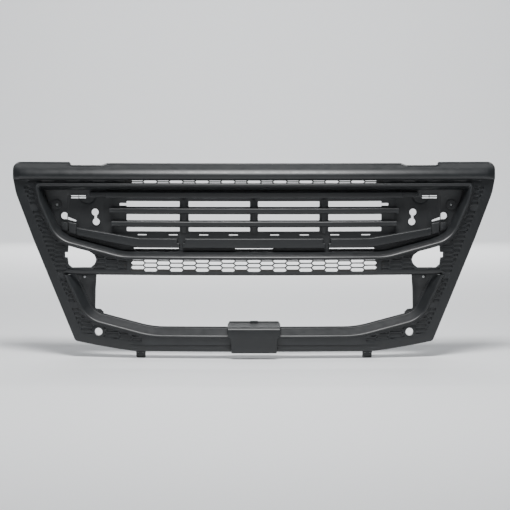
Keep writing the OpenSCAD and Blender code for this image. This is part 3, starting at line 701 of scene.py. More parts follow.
def surround_rear(s):
    """What is moulded on to the back of one side of the surround."""
    collar_y, post_y = face_y(corner_bore[0], 4), face_y(BUFFER[0], -3)
    made = [turned("bore_collar", s * corner_bore[0], corner_bore[1],
                   [(15.5, collar_y + 5), (15.5, collar_y + 23.2), (16.3, collar_y + 24),
                    (19.7, collar_y + 24), (20.5, collar_y + 23.2), (20.5, collar_y + 5)], face_plastic, 44),
            turned("buffer_post", s * BUFFER[0], BUFFER[1],
                   [(4.2, post_y + 14), (4.2, -28.6), (4.8, -28), (10.3, -28), (11, -28.7), (11, post_y),
                    (0.4, post_y), (0.4, post_y + 14)], face_plastic, 36)]
    for x in (HINGE_X - HINGE_RIB_REACH, HINGE_X + HINGE_RIB_REACH):
        made.append(flat_prism("hinge_rib", HINGE_RIB, [], s * x - 2, s * x + 2,
                               lambda d, z, h: (h, face_y(x, d), z), face_plastic, 0.5))
    for z0, z1, front_d in ((-404, -396, -3), (-427, -397, -41.8)):
        made.append(plate("cheek_arm", box_loop(*sorted(s * x for x in CHEEK_ARM), z0, z1), front_d, -46.4,
                          face_plastic, bevel=1.0))
    for x, z in STUDS:
        root_y, edge_y, tip_y = (face_y(x, d) for d in (-2, -11, -11.4))
        made.append(turned("stud", s * x, z, [(0.3, root_y), (1.8, root_y), (1.8, edge_y), (1.3, tip_y),
                                              (0.3, tip_y)], face_plastic, 16))
    for top, bottom in STIFF_RIBS:
        top, bottom = Vector(top), Vector(bottom)
        along = (bottom - top).normalized() * RIB_HALF_T
        side = Vector((along.y, -along.x))
        loop = [tuple(p) for p in (top + side, bottom + side, bottom - side, top - side)]
        made.append(plate("stiff_rib", loop if s > 0 else flip(loop), -3, -20, face_plastic, bevel=0.4))
    return made


surround_parts += surround_rear(1) + surround_rear(-1)
fit(joined("surround_moulding", surround_parts), "face_plastic", *nodes_named("surround_"))

# ---- Bezels --------------------------------------------------------------------
# Two smooth rolled frames in the same plastic, one round the upper window and one round
# the lower opening, where it is also the shelf of the sill. Screws hold both from behind.

def swept(name, path_at, section, material, closed=True, step=22):
    """A closed section of (distance in, depth) points, swept along an outline on the bow."""
    base = path_at(0)
    stretches = len(base) if closed else len(base) - 1
    cuts = [max(1, round((Vector(base[(i + 1) % len(base)]) - Vector(base[i])).length / step))
            for i in range(stretches)]
    verts, faces = [], []
    for u, d in section:
        loop = path_at(u)
        for i, count in enumerate(cuts):
            a, b = Vector(loop[i]), Vector(loop[(i + 1) % len(loop)])
            verts += [on_bow(*a.lerp(b, k / count), d) for k in range(count)]
        if not closed:
            verts.append(on_bow(*loop[-1], d))
    n, m = len(verts) // len(section), len(section)
    for j in range(m):
        for i in range(n if closed else n - 1):
            a, b = j * n + i, j * n + (i + 1) % n
            c, e = ((j + 1) % m) * n + (i + 1) % n, ((j + 1) % m) * n + i
            faces.append((a, b, c, e))
    if not closed:
        faces += [tuple(j * n for j in reversed(range(m))), tuple(j * n + n - 1 for j in range(m))]
    piece = new_piece(name, verts, faces, material)
    outward(piece)
    shade(piece)
    return piece


FLANGE_FRONT_D = -49.0
bezel_section = rounded(
    [(0, 0.4), (0, 6.5), (3, 11), (7, 12), (12, 9), (18, 0), (24, -15), (28, -31),
     (31, FLANGE_FRONT_D), (31, -53), (16, -53), (16, FLANGE_FRONT_D), (27, FLANGE_FRONT_D), (24, -31),
     (20, -16.5), (14.5, -3.5), (12, 0.4)],
    [0.6, 3.5, 4.5, 5, 14, 30, 60, 60, 0.6, 0.8, 0.8, 0.8, 1.2, 60, 40, 20, 0.6], 3)
upper_bezel = swept("upper_bezel_moulding", upper_ring, bezel_section, face_plastic)
fit(upper_bezel, "face_plastic", "upper_bezel")


def lower_edge_path(u):
    """The lower bezel's path, cut off under the waist rail."""
    path = [p for p in lower_path(u) if p[1] < RAIL_BOTTOM_Z - 2]
    ends = []
    for a, b in ((path[0], path[1]), (path[-1], path[-2])):
        t = (RAIL_BOTTOM_Z - 0.4 - b[1]) / (a[1] - b[1])
        ends.append((b[0] + (a[0] - b[0]) * t, RAIL_BOTTOM_Z - 0.4))
    return [ends[0]] + path + [ends[1]]


shelf_section = rounded(
    [(0, 0.4), (0, 4.5), (3, 8.5), (7, 8.5), (11, 6), (36, -34), (42, -34), (42, -37.5),
     (32, -37.5), (11, 0.4)],
    [0.6, 2.6, 3.5, 3.5, 8, 2.5, 0.8, 0.8, 2, 3], 4)
lower_bezel = swept("lower_bezel_moulding", lower_edge_path, shelf_section, face_plastic, closed=False)
fit(lower_bezel, "face_plastic", *nodes_named("lower_bezel"))

# ---- Slat carrier --------------------------------------------------------------
# The matt insert inside the upper window: side plates with keyholes and a screw boss, two
# rails, three mullions and six rows of open windows. Screws from behind fix it to the bezel.

# the same graphite plastic as the face, matt, but about a fifth lighter: the lighter tone is painted light
# that lifts the shaded inner pieces
inner_plastic = moulded_plastic("graphite_inner_plastic", (0.0140, 0.0151, 0.0162), 0.50, 0.16, 0.03)
CARRIER_D, CARRIER_BACK_D = -53.4, -57.4
WINDOW_ROWS = ((-138, -116), (-192, -168), (-236, -220))
MULLION_X = 278.0
KEYS = ((759, -176), (635, -161), (631, -199))
KEY_R, KEY_STEPS = 14.0, 36
NECK_X, NECK_HALF_W = 633.0, 3.6
BOSS = (790.0, -132.0)
DISH_X, DISH_Z, DISH_HALF_W, DISH_DROP = 666, -98, 38, 34
STEP_LINE_Z = -92.0


def slit(x0, x1, z0, z1):
    """A narrow slot with round ends."""
    return rounded(box_loop(x0, x1, z0, z1), [1.9] * 4, 3)


def hooked_key(x, z, tail):
    """A round hole with a tail, which leaves the circle at its first point and meets it at its last."""
    ring = circle(x, z, KEY_R, KEY_STEPS)
    start, end = (min(range(KEY_STEPS), key=lambda i: math.dist(ring[i], p)) for p in (tail[-1], tail[0]))
    return [ring[(start + i) % KEY_STEPS] for i in range((end - start) % KEY_STEPS + 1)] + tail[1:-1]


def open_ring(x, z, side):
    """A round hole without its points at the neck above it (1) or below it (-1)."""
    ring = [p for p in circle(x, z, KEY_R, KEY_STEPS)
            if abs(p[0] - NECK_X) >= NECK_HALF_W or (p[1] - z) * side <= 0]
    first = max(range(len(ring)), key=lambda i: math.dist(ring[i], ring[i - 1]))
    return ring[first:] + ring[:first]


right_holes = []
for row, (z0, z1) in enumerate(WINDOW_ROWS):
    for x0, x1 in ((16, MULLION_X - 18), (MULLION_X + 18, 508))[:2 if row else 1]:
        right_holes.append(rounded(box_loop(x0, x1, z0, z1), [2.5] * 4, 3))
# the top outer window runs on outwards in a narrow step
right_holes.append(rounded([(296, -138), (296, -116), (508, -116), (508, -124), (536, -124), (536, -134),
                            (508, -134), (508, -138)], [2.5, 2.5, 2.5, 1.5, 2.5, 2.5, 1.5, 2.5], 3))
right_holes += [hooked_key(*KEYS[0], [(755, -189.4), (714, -199), (712, -198), (712, -194), (715, -192.5),
                                      (746, -181)]),
                open_ring(*KEYS[1], -1) + open_ring(*KEYS[2], 1), slit(672, 732, -98, -94),
                slit(672, 732, -106, -102), slit(300, 480, -306, -302), circle(*BOSS, 10, 28)]
right_holes += [slit(x - 18, x + 18, -252, -248) for x in (82, 200, 322, 446)]
carrier_holes = [hole for loop in right_holes for hole in (loop, flip(loop))] + [slit(-75, 75, -306, -302)]

right_loops = [circle(x, z, KEY_R + grow, 40) for x, z in KEYS for grow in (1.6, 3.2, 4.6)]
for size in (1.0, 0.93, 0.86, 0.79, 0.72):
    right_loops.append([(DISH_X + DISH_HALF_W * size * math.cos(a * math.pi / 20),
                         DISH_Z - DISH_DROP * size * math.sin(a * math.pi / 20)) for a in range(1, 20)])
carrier_loops = right_loops + [flip(loop) for loop in right_loops]


def carrier_face(x, z):
    """Low raised rims, a sunk panel and a step on the carrier's side plates."""
    ax = abs(x)
    d = 0.0
    for kx, kz in KEYS:
        gap = math.hypot(ax - kx, z - kz) - KEY_R
        if -0.5 < gap < 4.6:
            d = max(d, 1.5 * clamp((4.6 - gap) / 1.4))
    if ax > 732 and z > -112:
        d += 1.2 * smooth_step((z - STEP_LINE_Z + 1) / 2)
    if 560 < ax < 746 and -236 < z < -72:
        edge = min(ax - 560, 746 - ax, z + 236, -72 - z)
        d -= 1.1 * smooth_step(edge / 3)
    bowl = math.hypot((ax - DISH_X) / DISH_HALF_W, (z - DISH_Z) / DISH_DROP)
    if bowl < 1 and z < -96:
        d -= 3.4 * smooth_step((1 - bowl) / 0.28) * smooth_step((-96 - z) / 8)
    return d


carrier_lines = [((-746, z), (-560, z)) for z in (-236, -233, -99, -75, -72)]
carrier_lines += [((560, z), (746, z)) for z in (-236, -233, -99, -75, -72)]
carrier_lines += [((s * x, -240), (s * x, -68)) for s in (1, -1) for x in (560, 563, 743, 746)]
carrier_lines += [((s * 732, z), (s * 850, z)) for s in (1, -1) for z in (-93, -91)]
carrier_plate = plate("carrier_plate", upper_ring(18, 8), CARRIER_D, CARRIER_BACK_D, inner_plastic,
                      carrier_holes, carrier_face, carrier_loops, carrier_lines, bevel=0)


def mullion(x):
    """An upright bar between the windows, deeper than the plate."""
    return plate(f"mullion_{x:.0f}", box_loop(x - 13, x + 13, -244, -108), CARRIER_D - 2, CARRIER_BACK_D - 18,
                 inner_plastic, bevel=1.0)


def core(x):
    """The raised strip up the front of a mullion, between its two sunk sides."""
    return plate(f"core_{x:.0f}", box_loop(x - 7, x + 7, -243, -108), CARRIER_D + 6, CARRIER_D - 1,
                 inner_plastic, bevel=1.5)


def carrier_boss(s):
    """A ringed boss with a seat for its screw's head."""
    rings = [(6.5, 3), (6.5, -7.2), (7.2, -8), (11.5, -8), (12.3, -6.6), (14.7, -6.6), (15.5, -8),
             (18.2, -8), (19, -7.2), (19, 7.2), (18.2, 8), (3.6, 8), (3, 7.4), (3, 3)]
    return turned("boss", s * BOSS[0], BOSS[1], rings, inner_plastic, 48, face_y(BOSS[0], CARRIER_D))


def rear_rib(x0, x1, z0, z1, deep):
    """A stiffening web on the carrier's back."""
    return plate("rear_rib", box_loop(x0, x1, z0, z1), CARRIER_D - 2, CARRIER_BACK_D - deep, inner_plastic,
                 bevel=0.5)


carrier_parts = [carrier_plate] + [make(x) for make in (mullion, core) for x in (-MULLION_X, 0, MULLION_X)]
carrier_parts += both(carrier_boss) + [rear_rib(-560, 560, z, z + 2.4, 10) for z in (-113, -246)]
for s in (1, -1):
    for x in (540, 600, 700, 746):
        carrier_parts.append(rear_rib(*sorted((s * x, s * (x + 2.4))), -262, -84, 8))
fit(joined("slat_carrier_moulding", carrier_parts), "inner_plastic",
    *(name for name in nodes_named("carrier_") if name != "carrier_screws"))

# ---- Top bar and slats ---------------------------------------------------------
# Three long hollow rails in front of the carrier, each an extrusion-like C moulding with
# rounded nose edges, closed ends and screw bosses inside. Screws from behind hold them.

SLAT_BACK_D = CARRIER_D + 0.4
SLAT_WALL = 3.0


def screw_boss(x, z, front_d, back_y, deep):
    """A round post inside a hollow piece, with a hole for its screw from behind."""
    front_y = face_y(x, front_d)
    rings = [(2, back_y - deep), (2, back_y - 0.4), (2.5, back_y), (5, back_y), (5.5, back_y - 0.5),
             (5.5, front_y), (0.6, front_y), (0.6, back_y - deep)]
    return turned("screw_boss", x, z, rings, face_plastic, 20)


def slat_boss(x, z, front_d, deep):
    """A screw boss that ends just in front of the carrier."""
    return screw_boss(x, z, front_d, face_y(x, SLAT_BACK_D) - 0.8, deep)


def rail(name, z0, z1, half_length, nose, bosses_at):
    """A bowed C section, open to the rear, with closed ends and screw bosses at each side."""
    bevel = 6.0
    outer = [(SLAT_BACK_D, z0), (nose, z0), (nose, z1), (SLAT_BACK_D, z1)]
    inner = [(SLAT_BACK_D, z1 - SLAT_WALL), (nose - SLAT_WALL, z1 - SLAT_WALL),
             (nose - SLAT_WALL, z0 + SLAT_WALL), (SLAT_BACK_D, z0 + SLAT_WALL)]
    section = rounded(outer + inner, [0.5, bevel, bevel, 0.5, 0.5, 2, 2, 0.5], 5)
    cuts = 48
    xs = [half_length * (2 * k / cuts - 1) for k in range(cuts + 1)]
    verts = [on_bow(x, z, d) for x in xs for d, z in section]
    m = len(section)
    faces = []
    for k in range(cuts):
        for j in range(m):
            a, b = k * m + j, k * m + (j + 1) % m
            faces.append((a, b, b + m, a + m))
    faces += [tuple(range(m)), tuple(cuts * m + j for j in reversed(range(m)))]
    body = new_piece(name, verts, faces, face_plastic)
    outward(body)
    shade(body)
    parts = [body]
    for s in (1, -1):
        cap = box_loop(*sorted((s * (half_length - SLAT_WALL), s * half_length)), z0 + 1, z1 - 1)
        parts.append(plate("end", cap, nose - 1.2, SLAT_BACK_D, face_plastic, bevel=0.8))
        parts += [slat_boss(s * x, (z0 + z1) / 2, nose - 2, 6) for x in bosses_at]
    return parts


def boxed_tray(name, outline, front_d, material, edge_r=2.0):
    """A small tray of the same kind as the surround, closed at the front, that stands on the carrier."""
    return tray(name, inset(outline, edge_r), level(SLAT_BACK_D), edge_r, SLAT_WALL, material,
                lambda x, z: front_d)


TOP_NOSE_D = SLAT_BACK_D + 26
top_parts = rail("top_bar_rail", -103, -77, 590, TOP_NOSE_D, (140, 400))
for s in (1, -1):
    stub = box_loop(*sorted((s * 590.5, s * 656)), -98, -80)
    top_parts.append(boxed_tray("stub", stub, TOP_NOSE_D - 8, face_plastic))
fit(joined("top_bar_moulding", top_parts), "face_plastic", "top_bar")

SLAT_NOSE_D = SLAT_BACK_D + 22
for name, z0, z1, half_length in (("middle", -163, -143, 576), ("lower", -215.5, -195.5, 568)):
    parts = rail(f"{name}_rail", z0, z1, half_length, SLAT_NOSE_D, (140, 400, 545))
    fit(joined(f"{name}_slat_moulding", parts), "face_plastic", f"{name}_slat")

# ---- Blade and its brackets ----------------------------------------------------
# A deeper blade under the slats, in three hollow lengths that meet in stepped joints, and a
# clamp with a small block at each outer end. All are screwed on from behind.

BLADE_FRONT_D = SLAT_BACK_D + 34
BLADE_EDGE_R = 3.6
blade_middle = [(-283, -301), (-283, -282), (-275, -282), (-275, -263), (275, -263), (275, -282), (283, -282),
                (283, -301)]
blade_side = [(296, -300), (296, -282), (304, -282), (304, -263), (456, -263), (708, -222), (708, -252),
              (560, -281), (456, -300)]
clamp_plate = [(709, -250), (709, -206), (740, -202), (740, -242)]
neck_plate = [(739, -232), (739, -210), (746, -210), (746, -228)]
end_block = [(745, -236), (745, -204), (770, -200), (768, -232)]

centre_parts = [boxed_tray("blade_middle", blade_middle, BLADE_FRONT_D, face_plastic, BLADE_EDGE_R)]
centre_parts += [slat_boss(x, -281, BLADE_FRONT_D - 2, 8) for x in (150, -150)]
for x in (-240, -195, -100, -50, 0, 50, 100, 195, 240):
    centre_parts.append(plate("rib", box_loop(x - 0.9, x + 0.9, -299, -265), BLADE_FRONT_D - 2,
                              SLAT_BACK_D + 6, face_plastic, bevel=0.3))
fit(joined("blade_centre_moulding", centre_parts), "face_plastic", "blade_centre")

for s, side in ((1, "right"), (-1, "left")):
    shell, clamp_loop, neck_loop, block_loop = (
        loop if s > 0 else flip(loop) for loop in (blade_side, clamp_plate, neck_plate, end_block))
    parts = [boxed_tray(f"blade_{side}_shell", shell, BLADE_FRONT_D, face_plastic, BLADE_EDGE_R)]
    parts += [slat_boss(s * x, z, BLADE_FRONT_D - 2, 8) for x, z in ((340, -281), (520, -270), (670, -244))]
    fit(joined(f"blade_{side}_moulding", parts), "face_plastic", f"blade_{side}")
    parts = [boxed_tray(f"clamp_{side}", clamp_loop, BLADE_FRONT_D - 10, inner_plastic, 2.5),
             plate(f"neck_{side}", neck_loop, SLAT_BACK_D + 5, SLAT_BACK_D, inner_plastic, bevel=0.6),
             plate(f"block_{side}", block_loop, SLAT_BACK_D + 16, SLAT_BACK_D, inner_plastic, bevel=1.6)]
    fit(joined(f"blade_bracket_{side}_moulding", parts), "inner_plastic", f"blade_bracket_{side}")

# ---- Honeycomb strips ----------------------------------------------------------
# Two thin matt strips of long flat hexagonal cells behind the slots of the surround, each
# held by studs and push-on clips. The webs have softened edges.

mesh_plastic = moulded_plastic("warm_mesh_plastic", (0.020, 0.0185, 0.017), 0.50, 0.14, 0.04)
MESH_D, MESH_T = -4.4, 4.0


def clipped_cell(cx, cz, half_x, z0, z1):
    """A cell cut off at the edges of the open area."""
    loop = cell_loop(cx, cz)
    for axis, limit, keep in ((0, -half_x, 1), (0, half_x, -1), (1, z0, 1), (1, z1, -1)):
        cut = []
        for i, here in enumerate(loop):
            before = loop[i - 1]
            a, b = (before[axis] - limit) * keep, (here[axis] - limit) * keep
            if (a > 0) != (b > 0):
                t = a / (a - b)
                cut.append(tuple(before[k] + (here[k] - before[k]) * t for k in (0, 1)))
            if b > 0:
                cut.append(here)
        loop = cut
        if not loop:
            return []
    return loop


def strip(name, half_length, z0, z1, open_half, open_z0, open_z1, row_z, rows):
    """A honeycomb strip between its plain borders."""
    columns = int(open_half // CELL_X)
    holes = []
    for i in range(-columns, columns + 1):
        for k in rows:
            cell = clipped_cell(i * CELL_X, row_z + (k + (0 if i % 2 == 0 else 0.5)) * CELL_Z,
                                open_half, open_z0, open_z1)
            if len(cell) > 2 and (max(z for _, z in cell) - min(z for _, z in cell)) > 1.5:
                holes.append(cell)
    outline = box_loop(-half_length, half_length, z0, z1)
    return plate(name, outline, MESH_D, MESH_D - MESH_T, mesh_plastic, holes, bevel=0.7)


fit(strip("upper_mesh_strip", 534, -49.6, -27, 512, -43, -31, -37, (-1, 0)), "mesh_plastic", "upper_mesh")
fit(strip("lower_mesh_strip", 516, -406, -337, 490, -394, -341, -368, (-1, 0, 1)),
    "mesh_plastic", "lower_mesh")

# ---- Cheek plates --------------------------------------------------------------
# A flat matt plate at each side of the lower opening, behind the bezel. Its front screw goes
# into an arm of the surround, its rear screw through the bezel's flange.

CHEEK_D, CHEEK_T = -37.9, 3.5
cheek_outline = rounded([(630, -410), (718, -410), (657, -552), (646, -566), (606, -576), (602, -560),
                         (614, -548), (636, -546), (634, -470)], [3, 3, 8, 8, 4, 4, 6, 6, 40], 4)


def cheek_face(x, z):
    """A sunk field under the screw, with a raised ring round the screw's hole."""
    ax = abs(x)
    edge = min(depth_in((ax, z), cheek_outline) - 8, -430 - z)
    d = -0.9 * smooth_step(edge / 2.5)
    ring = math.hypot(ax - 678, z + 418) - 8
    return max(d, 0.0) + 0.8 * clamp(-ring / 1.2) if ring < 0 else d


for s, side in ((1, "right"), (-1, "left")):
    keep = (lambda loop: loop) if s > 0 else flip
    holes = [keep(circle(x, z, 2.6, 20)) for x, z in ((678, -418), (671, -500))]
    loops = [keep(circle(678, -418, r, 28)) for r in (6.8, 8.0)]
    loops += [keep(inset(cheek_outline, u)) for u in (8.0, 10.5)]
    body = plate(f"cheek_{side}_plate", keep(cheek_outline), CHEEK_D, CHEEK_D - CHEEK_T, inner_plastic, holes,
                 cheek_face, loops, [((s * 600, z), (s * 730, z)) for z in (-430, -432.5)], bevel=0)
    soften(body, 0.5, 2, 50)
    shade(body)
    fit(body, "inner_plastic", f"cheek_{side}")

# ---- Sill cover ----------------------------------------------------------------
# A boxed cap over the middle of the sill, with a bulging front, shouldered sides, a rounded
# top edge and a small tab at its rear. Two screws from behind the wall hold it.

COVER_BACK_D = -44.0
COVER_EDGE_R, COVER_WALL = 3.0, 3.0
COVER_SCREW_X, COVER_SCREW_Z = 60, -685
cover_sharp = [(-98, -594), (98, -594), (105, -606), (105, -646), (92, -658), (90, -715), (-90, -715),
               (-92, -658), (-105, -646), (-105, -606)]
cover_outline = rounded(inset(cover_sharp, COVER_EDGE_R), [4, 4, 7, 7, 11, 1, 1, 11, 7, 7], 5)
cover_knots = [(-597.5, -45), (-598.5, -42), (-605, -20), (-612, 8), (-616, 14.5), (-619, 18), (-625, 20.6),
               (-632, 22)]
cover_levels = [-598.2, -599, -600.5, -603, -606, -609, -611, -612.5, -614, -616, -618, -620, -623, -627,
                -632, -650, -668, -690]


def cover_face(x, z):
    """The cover's front, rounded over at the top and a little lower towards its sides."""
    out = min(curve_through(cover_knots, z), 21.4 + 0.6 * smooth_step((105 - abs(x)) / 12))
    return max(out, COVER_BACK_D + 4)


def cover_seat(x, z):
    """How far back the cover's wall may reach beside the sill's own section."""
    if z > -615:
        return COVER_BACK_D
    if z > -646:
        return -33.5 + (-615 - z) / 31 * 40 + 0.8
    return 9.2 if z > -657.6 else 0.6


cover_parts = [tray("cover_shell", cover_outline, cover_seat, COVER_EDGE_R, COVER_WALL, face_plastic,
                    cover_face, lines=[((-110, z), (110, z)) for z in cover_levels], step=10),
               plate("cover_tab", rounded(box_loop(-16, 16, -600, -592), [1, 3, 3, 1], 4), COVER_BACK_D + 8,
                     COVER_BACK_D, face_plastic, bevel=1.0)]
cover_parts += both(lambda s: screw_boss(s * COVER_SCREW_X, COVER_SCREW_Z, 19, face_y(COVER_SCREW_X, 0.8), 4))
fit(joined("sill_cover_cap", cover_parts), "face_plastic", "sill_cover")

# ---- Tongues -------------------------------------------------------------------
# Two small L-shaped locating tongues under the bottom edge, riveted to the surround's flange.

TONGUE_Z = -740.0
TONGUE_D = -26.0
for s, side in ((1, "right"), (-1, "left")):
    x0, x1 = sorted((s * 433, s * 471))
    foot_z = BOTTOM_Z - 0.4 - WALL
    blade = plate("tongue_blade", rounded(box_loop(x0, x1, TONGUE_Z, BOTTOM_Z - 0.4), [5, 0.6, 0.6, 5], 4),
                  TONGUE_D + 4, TONGUE_D, inner_plastic, bevel=0.7)
    foot = plate("tongue_foot", box_loop(x0, x1, foot_z, BOTTOM_Z - 0.4), -4, TONGUE_D + 1, inner_plastic,
                 bevel=0.6)
    webs = [plate("tongue_web", box_loop(x - 1.2, x + 1.2, foot_z - 12, foot_z + 0.5), -16, TONGUE_D + 3,
                  inner_plastic, bevel=0.3) for x in (x0 + 3, x1 - 3)]
    fit(joined(f"tongue_{side}_moulding", [blade, foot] + webs), "inner_plastic", f"tongue_{side}")

# ---- Hinge brackets ------------------------------------------------------------
# Two black-coated pressed steel channels behind the top roll. Each has two arms bolted to
# the surround's ribs and a flat plate with two holes for the cab's hinge.

def coated_steel():
    """Satin black powder coat with orange peel, rubbed metal edges, and a little dust with painted top light
    on up-facing faces.
    """
    # the up-facing lightening here is part dust, part painted top light
    material = moulded_plastic("black_coated_steel", (0.018, 0.019, 0.020), 0.34, 0.05, 0.04)
    shader = material.node_tree.nodes["Principled BSDF"]
    shader.inputs["Metallic"].default_value = 0.25
    return material


black_steel = coated_steel()
HINGE_HALF_W, HINGE_T = 32.0, 3.0
HINGE_HOLE_R, HINGE_HOLE_Z = 4.5, 12.0
ARM_Y = -face_y(HINGE_X, -30) + 14
BOLT_LEVELS = (-14.0, 8.0)


def hinge_bracket(s):
    """One channel: its plate across the rear and an arm at each side."""
    cx = s * HINGE_X
    plate_loop = rounded(box_loop(cx - HINGE_HALF_W, cx + HINGE_HALF_W, -27, 21), [7] * 4, 5)
    holes = [circle(cx, z, HINGE_HOLE_R, 28) for z in (-HINGE_HOLE_Z, HINGE_HOLE_Z)]
    parts = [flat_prism("hinge_plate", plate_loop, holes, -HINGE_T, 0, lambda a, b, h: (a, h, b),
                        black_steel)]
    for t in (0, 1):
        x0 = cx - HINGE_HALF_W + t * (2 * HINGE_HALF_W - HINGE_T)
        arm = rounded([(-ARM_Y, -25), (-ARM_Y, 19), (-1, 19), (-1, -25)], [9, 9, 1, 1], 5)
        bolt_holes = [circle(face_y(HINGE_X, -30), z, 2.6, 20) for z in BOLT_LEVELS]
        parts.append(flat_prism("hinge_arm", arm, bolt_holes, x0, x0 + HINGE_T, lambda a, b, h: (h, a, b),
                                black_steel))
    for z in (-1.5, 1.5):
        rib = box_loop(cx - HINGE_HALF_W + 6, cx + HINGE_HALF_W - 6, z - 1.2, z + 1.2)
        parts.append(flat_prism("hinge_rib", rib, [], -HINGE_T - 2.2, -HINGE_T + 0.5,
                                lambda a, b, h: (a, h, b), black_steel, 0.5))
    return joined(f"hinge_bracket_{'right' if s > 0 else 'left'}_channel", parts)


fit(hinge_bracket(1), "painted_steel", "hinge_bracket_right")
fit(hinge_bracket(-1), "painted_steel", "hinge_bracket_left")

# ---- Screws, nuts, clips and rivets --------------------------------------------
# Zinc-plated steel fasteners: pan-head screws with a six-lobed socket, hexagon nuts, clip
# nuts, toothed push-on clips and rivets, each kind repeated wherever the frame has one.

def zinc_steel():
    """Blue-white zinc plate with brushed streaks, dull patches, lighter rubbed edges and painted shade in its
    recesses.
    """
    material = bpy.data.materials.new("zinc_plated_steel")
    material.use_nodes = True
    tree = material.node_tree
    shader = tree.nodes["Principled BSDF"]
    place = tree.nodes.new("ShaderNodeTexCoord")
    patch = tree.nodes.new("ShaderNodeTexNoise")
    patch.inputs["Scale"].default_value = 60.0
    grain = tree.nodes.new("ShaderNodeTexNoise")
    grain.inputs["Scale"].default_value = 1400.0
    shape = tree.nodes.new("ShaderNodeNewGeometry")
    for source in (patch, grain):
        tree.links.new(place.outputs["Object"], source.inputs["Vector"])
    tint = tree.nodes.new("ShaderNodeValToRGB")
    tint.color_ramp.elements[0].position, tint.color_ramp.elements[1].position = 0.35, 0.7
    tint.color_ramp.elements[0].color = (0.36, 0.37, 0.38, 1)
    tint.color_ramp.elements[1].color = (0.60, 0.61, 0.60, 1)
    # tone by pointiness: sharp edges a little lighter, as rubbed plating; recesses darker, as painted shade
    curvature_tone = tree.nodes.new("ShaderNodeMapRange")
    curvature_tone.inputs["From Min"].default_value, curvature_tone.inputs["From Max"].default_value = 0.44, 0.56
    curvature_tone.inputs["To Min"].default_value, curvature_tone.inputs["To Max"].default_value = 0.62, 1.15
    blend = tree.nodes.new("ShaderNodeMix")
    blend.data_type, blend.blend_type = "RGBA", "MULTIPLY"
    blend.inputs["Factor"].default_value = 1.0
    rough = tree.nodes.new("ShaderNodeMapRange")
    rough.inputs["To Min"].default_value, rough.inputs["To Max"].default_value = 0.26, 0.5
    bump = tree.nodes.new("ShaderNodeBump")
    bump.inputs["Strength"].default_value, bump.inputs["Distance"].default_value = 0.1, 0.0002
    for a, b in ((patch.outputs["Fac"], tint.inputs["Fac"]),
                 (shape.outputs["Pointiness"], curvature_tone.inputs["Value"]),
                 (tint.outputs["Color"], blend.inputs["A"]), (curvature_tone.outputs["Result"], blend.inputs["B"]),
                 (blend.outputs["Result"], shader.inputs["Base Color"]),
                 (patch.outputs["Fac"], rough.inputs["Value"]),
                 (rough.outputs["Result"], shader.inputs["Roughness"]),
                 (grain.outputs["Fac"], bump.inputs["Height"]),
                 (bump.outputs["Normal"], shader.inputs["Normal"])):
        tree.links.new(a, b)
    shader.inputs["Metallic"].default_value = 1.0
    return material


steel = zinc_steel()


def screw(head_r, head_t, length, shank_r=2.4):
    """A thread-forming screw: turned grooves on its shank, a flanged pan head and a lobed socket."""
    rings = [(0.5, -length), (1.2, -length + 0.7), (shank_r - 0.5, -length + 1.6)]
    y = -length + 1.9
    while y < -1.4:
        rings += [(shank_r, y), (shank_r, y + 0.25), (shank_r - 0.5, y + 0.6), (shank_r - 0.5, y + 0.9)]
        y += 1.15
    rings += [(shank_r, -0.2), (head_r - 0.15, 0.0), (head_r, 0.15), (head_r, 0.6), (head_r - 0.3, 0.75),
              (head_r - 1.1, 0.8), (head_r - 1.25, head_t - 0.9), (head_r - 1.6, head_t - 0.3),
              (head_r - 2.3, head_t)]

    def lobe(grow):
        return lambda a: 1.75 + grow + 0.28 * math.cos(6 * a)

    rings += [(lobe(0.25), head_t), (lobe(0.0), head_t - 0.2), (lobe(-0.05), head_t - 1.6),
              (0.3, head_t - 1.9)]
    return turned("screw_pattern", 0, 0, rings, steel, 36, bored=False)


def nut(r, t, bore):
    """A chamfered hexagon nut with a turned bore."""
    low = r * math.cos(math.pi / 6)

    def flank(a):
        return low / math.cos((a % (math.pi / 3)) - math.pi / 6) - 0.05

    rings = [(bore, 0.3), (bore + 0.4, 0), (low - 0.2, 0), (flank, 0.45), (flank, t - 0.45), (low - 0.2, t),
             (bore + 0.4, t), (bore, t - 0.3)]
    return turned("nut_pattern", 0, 0, rings, steel, 36, sharp=30)


def push_clip(r, t, bore):
    """A thin domed washer with teeth that grip a stud."""
    def teeth(grow):
        return lambda a: bore + grow + 0.35 * (0.5 + 0.5 * math.cos(6 * a))

    rings = [(teeth(0.0), t - 0.3), (teeth(0.5), 0.25), (r - 0.3, 0.0), (r, 0.1), (r, 0.3), (r - 0.5, 0.35),
             (teeth(0.6), 0.55), (teeth(0.0), t)]
    return turned("clip_pattern", 0, 0, rings, steel, 36)


def clip_nut():
    """A square spring-steel nut: a plate with a pressed collar round its bore."""
    loop = rounded(box_loop(-9, 9, -9, 9), [2] * 4, 4)
    sheet = flat_prism("clip_nut_plate", loop, [circle(0, 0, 2.6, 24)], 0, 1.4, lambda a, b, h: (a, h, b),
                       steel, 0.3)
    rings = [(2.5, 1.2), (5.2, 1.2), (4.2, 2.0), (3.9, 2.9), (2.5, 2.9)]
    collar = turned("clip_nut_collar", 0, 0, rings, steel, 32)
    tabs = [flat_prism("clip_nut_tab", box_loop(x - 0.9, x + 0.9, -6, 6), [], 1.2, 3.0,
                       lambda a, b, h: (a, h, b), steel, 0.4) for x in (-7.6, 7.6)]
    return joined("clip_nut_pattern", [sheet, collar] + tabs)


def rivet(r, head_t, length):
    """A rivet with two domed heads."""
    rings = [(0.3, -length - head_t), (r * 0.6, -length - head_t + 0.15), (r * 0.9, -length - head_t + 0.6),
             (r, -length - 0.3), (r, -length), (2.4, -length), (2.4, 0), (r, 0), (r, 0.3),
             (r * 0.9, head_t - 0.6), (r * 0.6, head_t - 0.15), (0.3, head_t)]
    return turned("rivet_pattern", 0, 0, rings, steel, 36, bored=False)


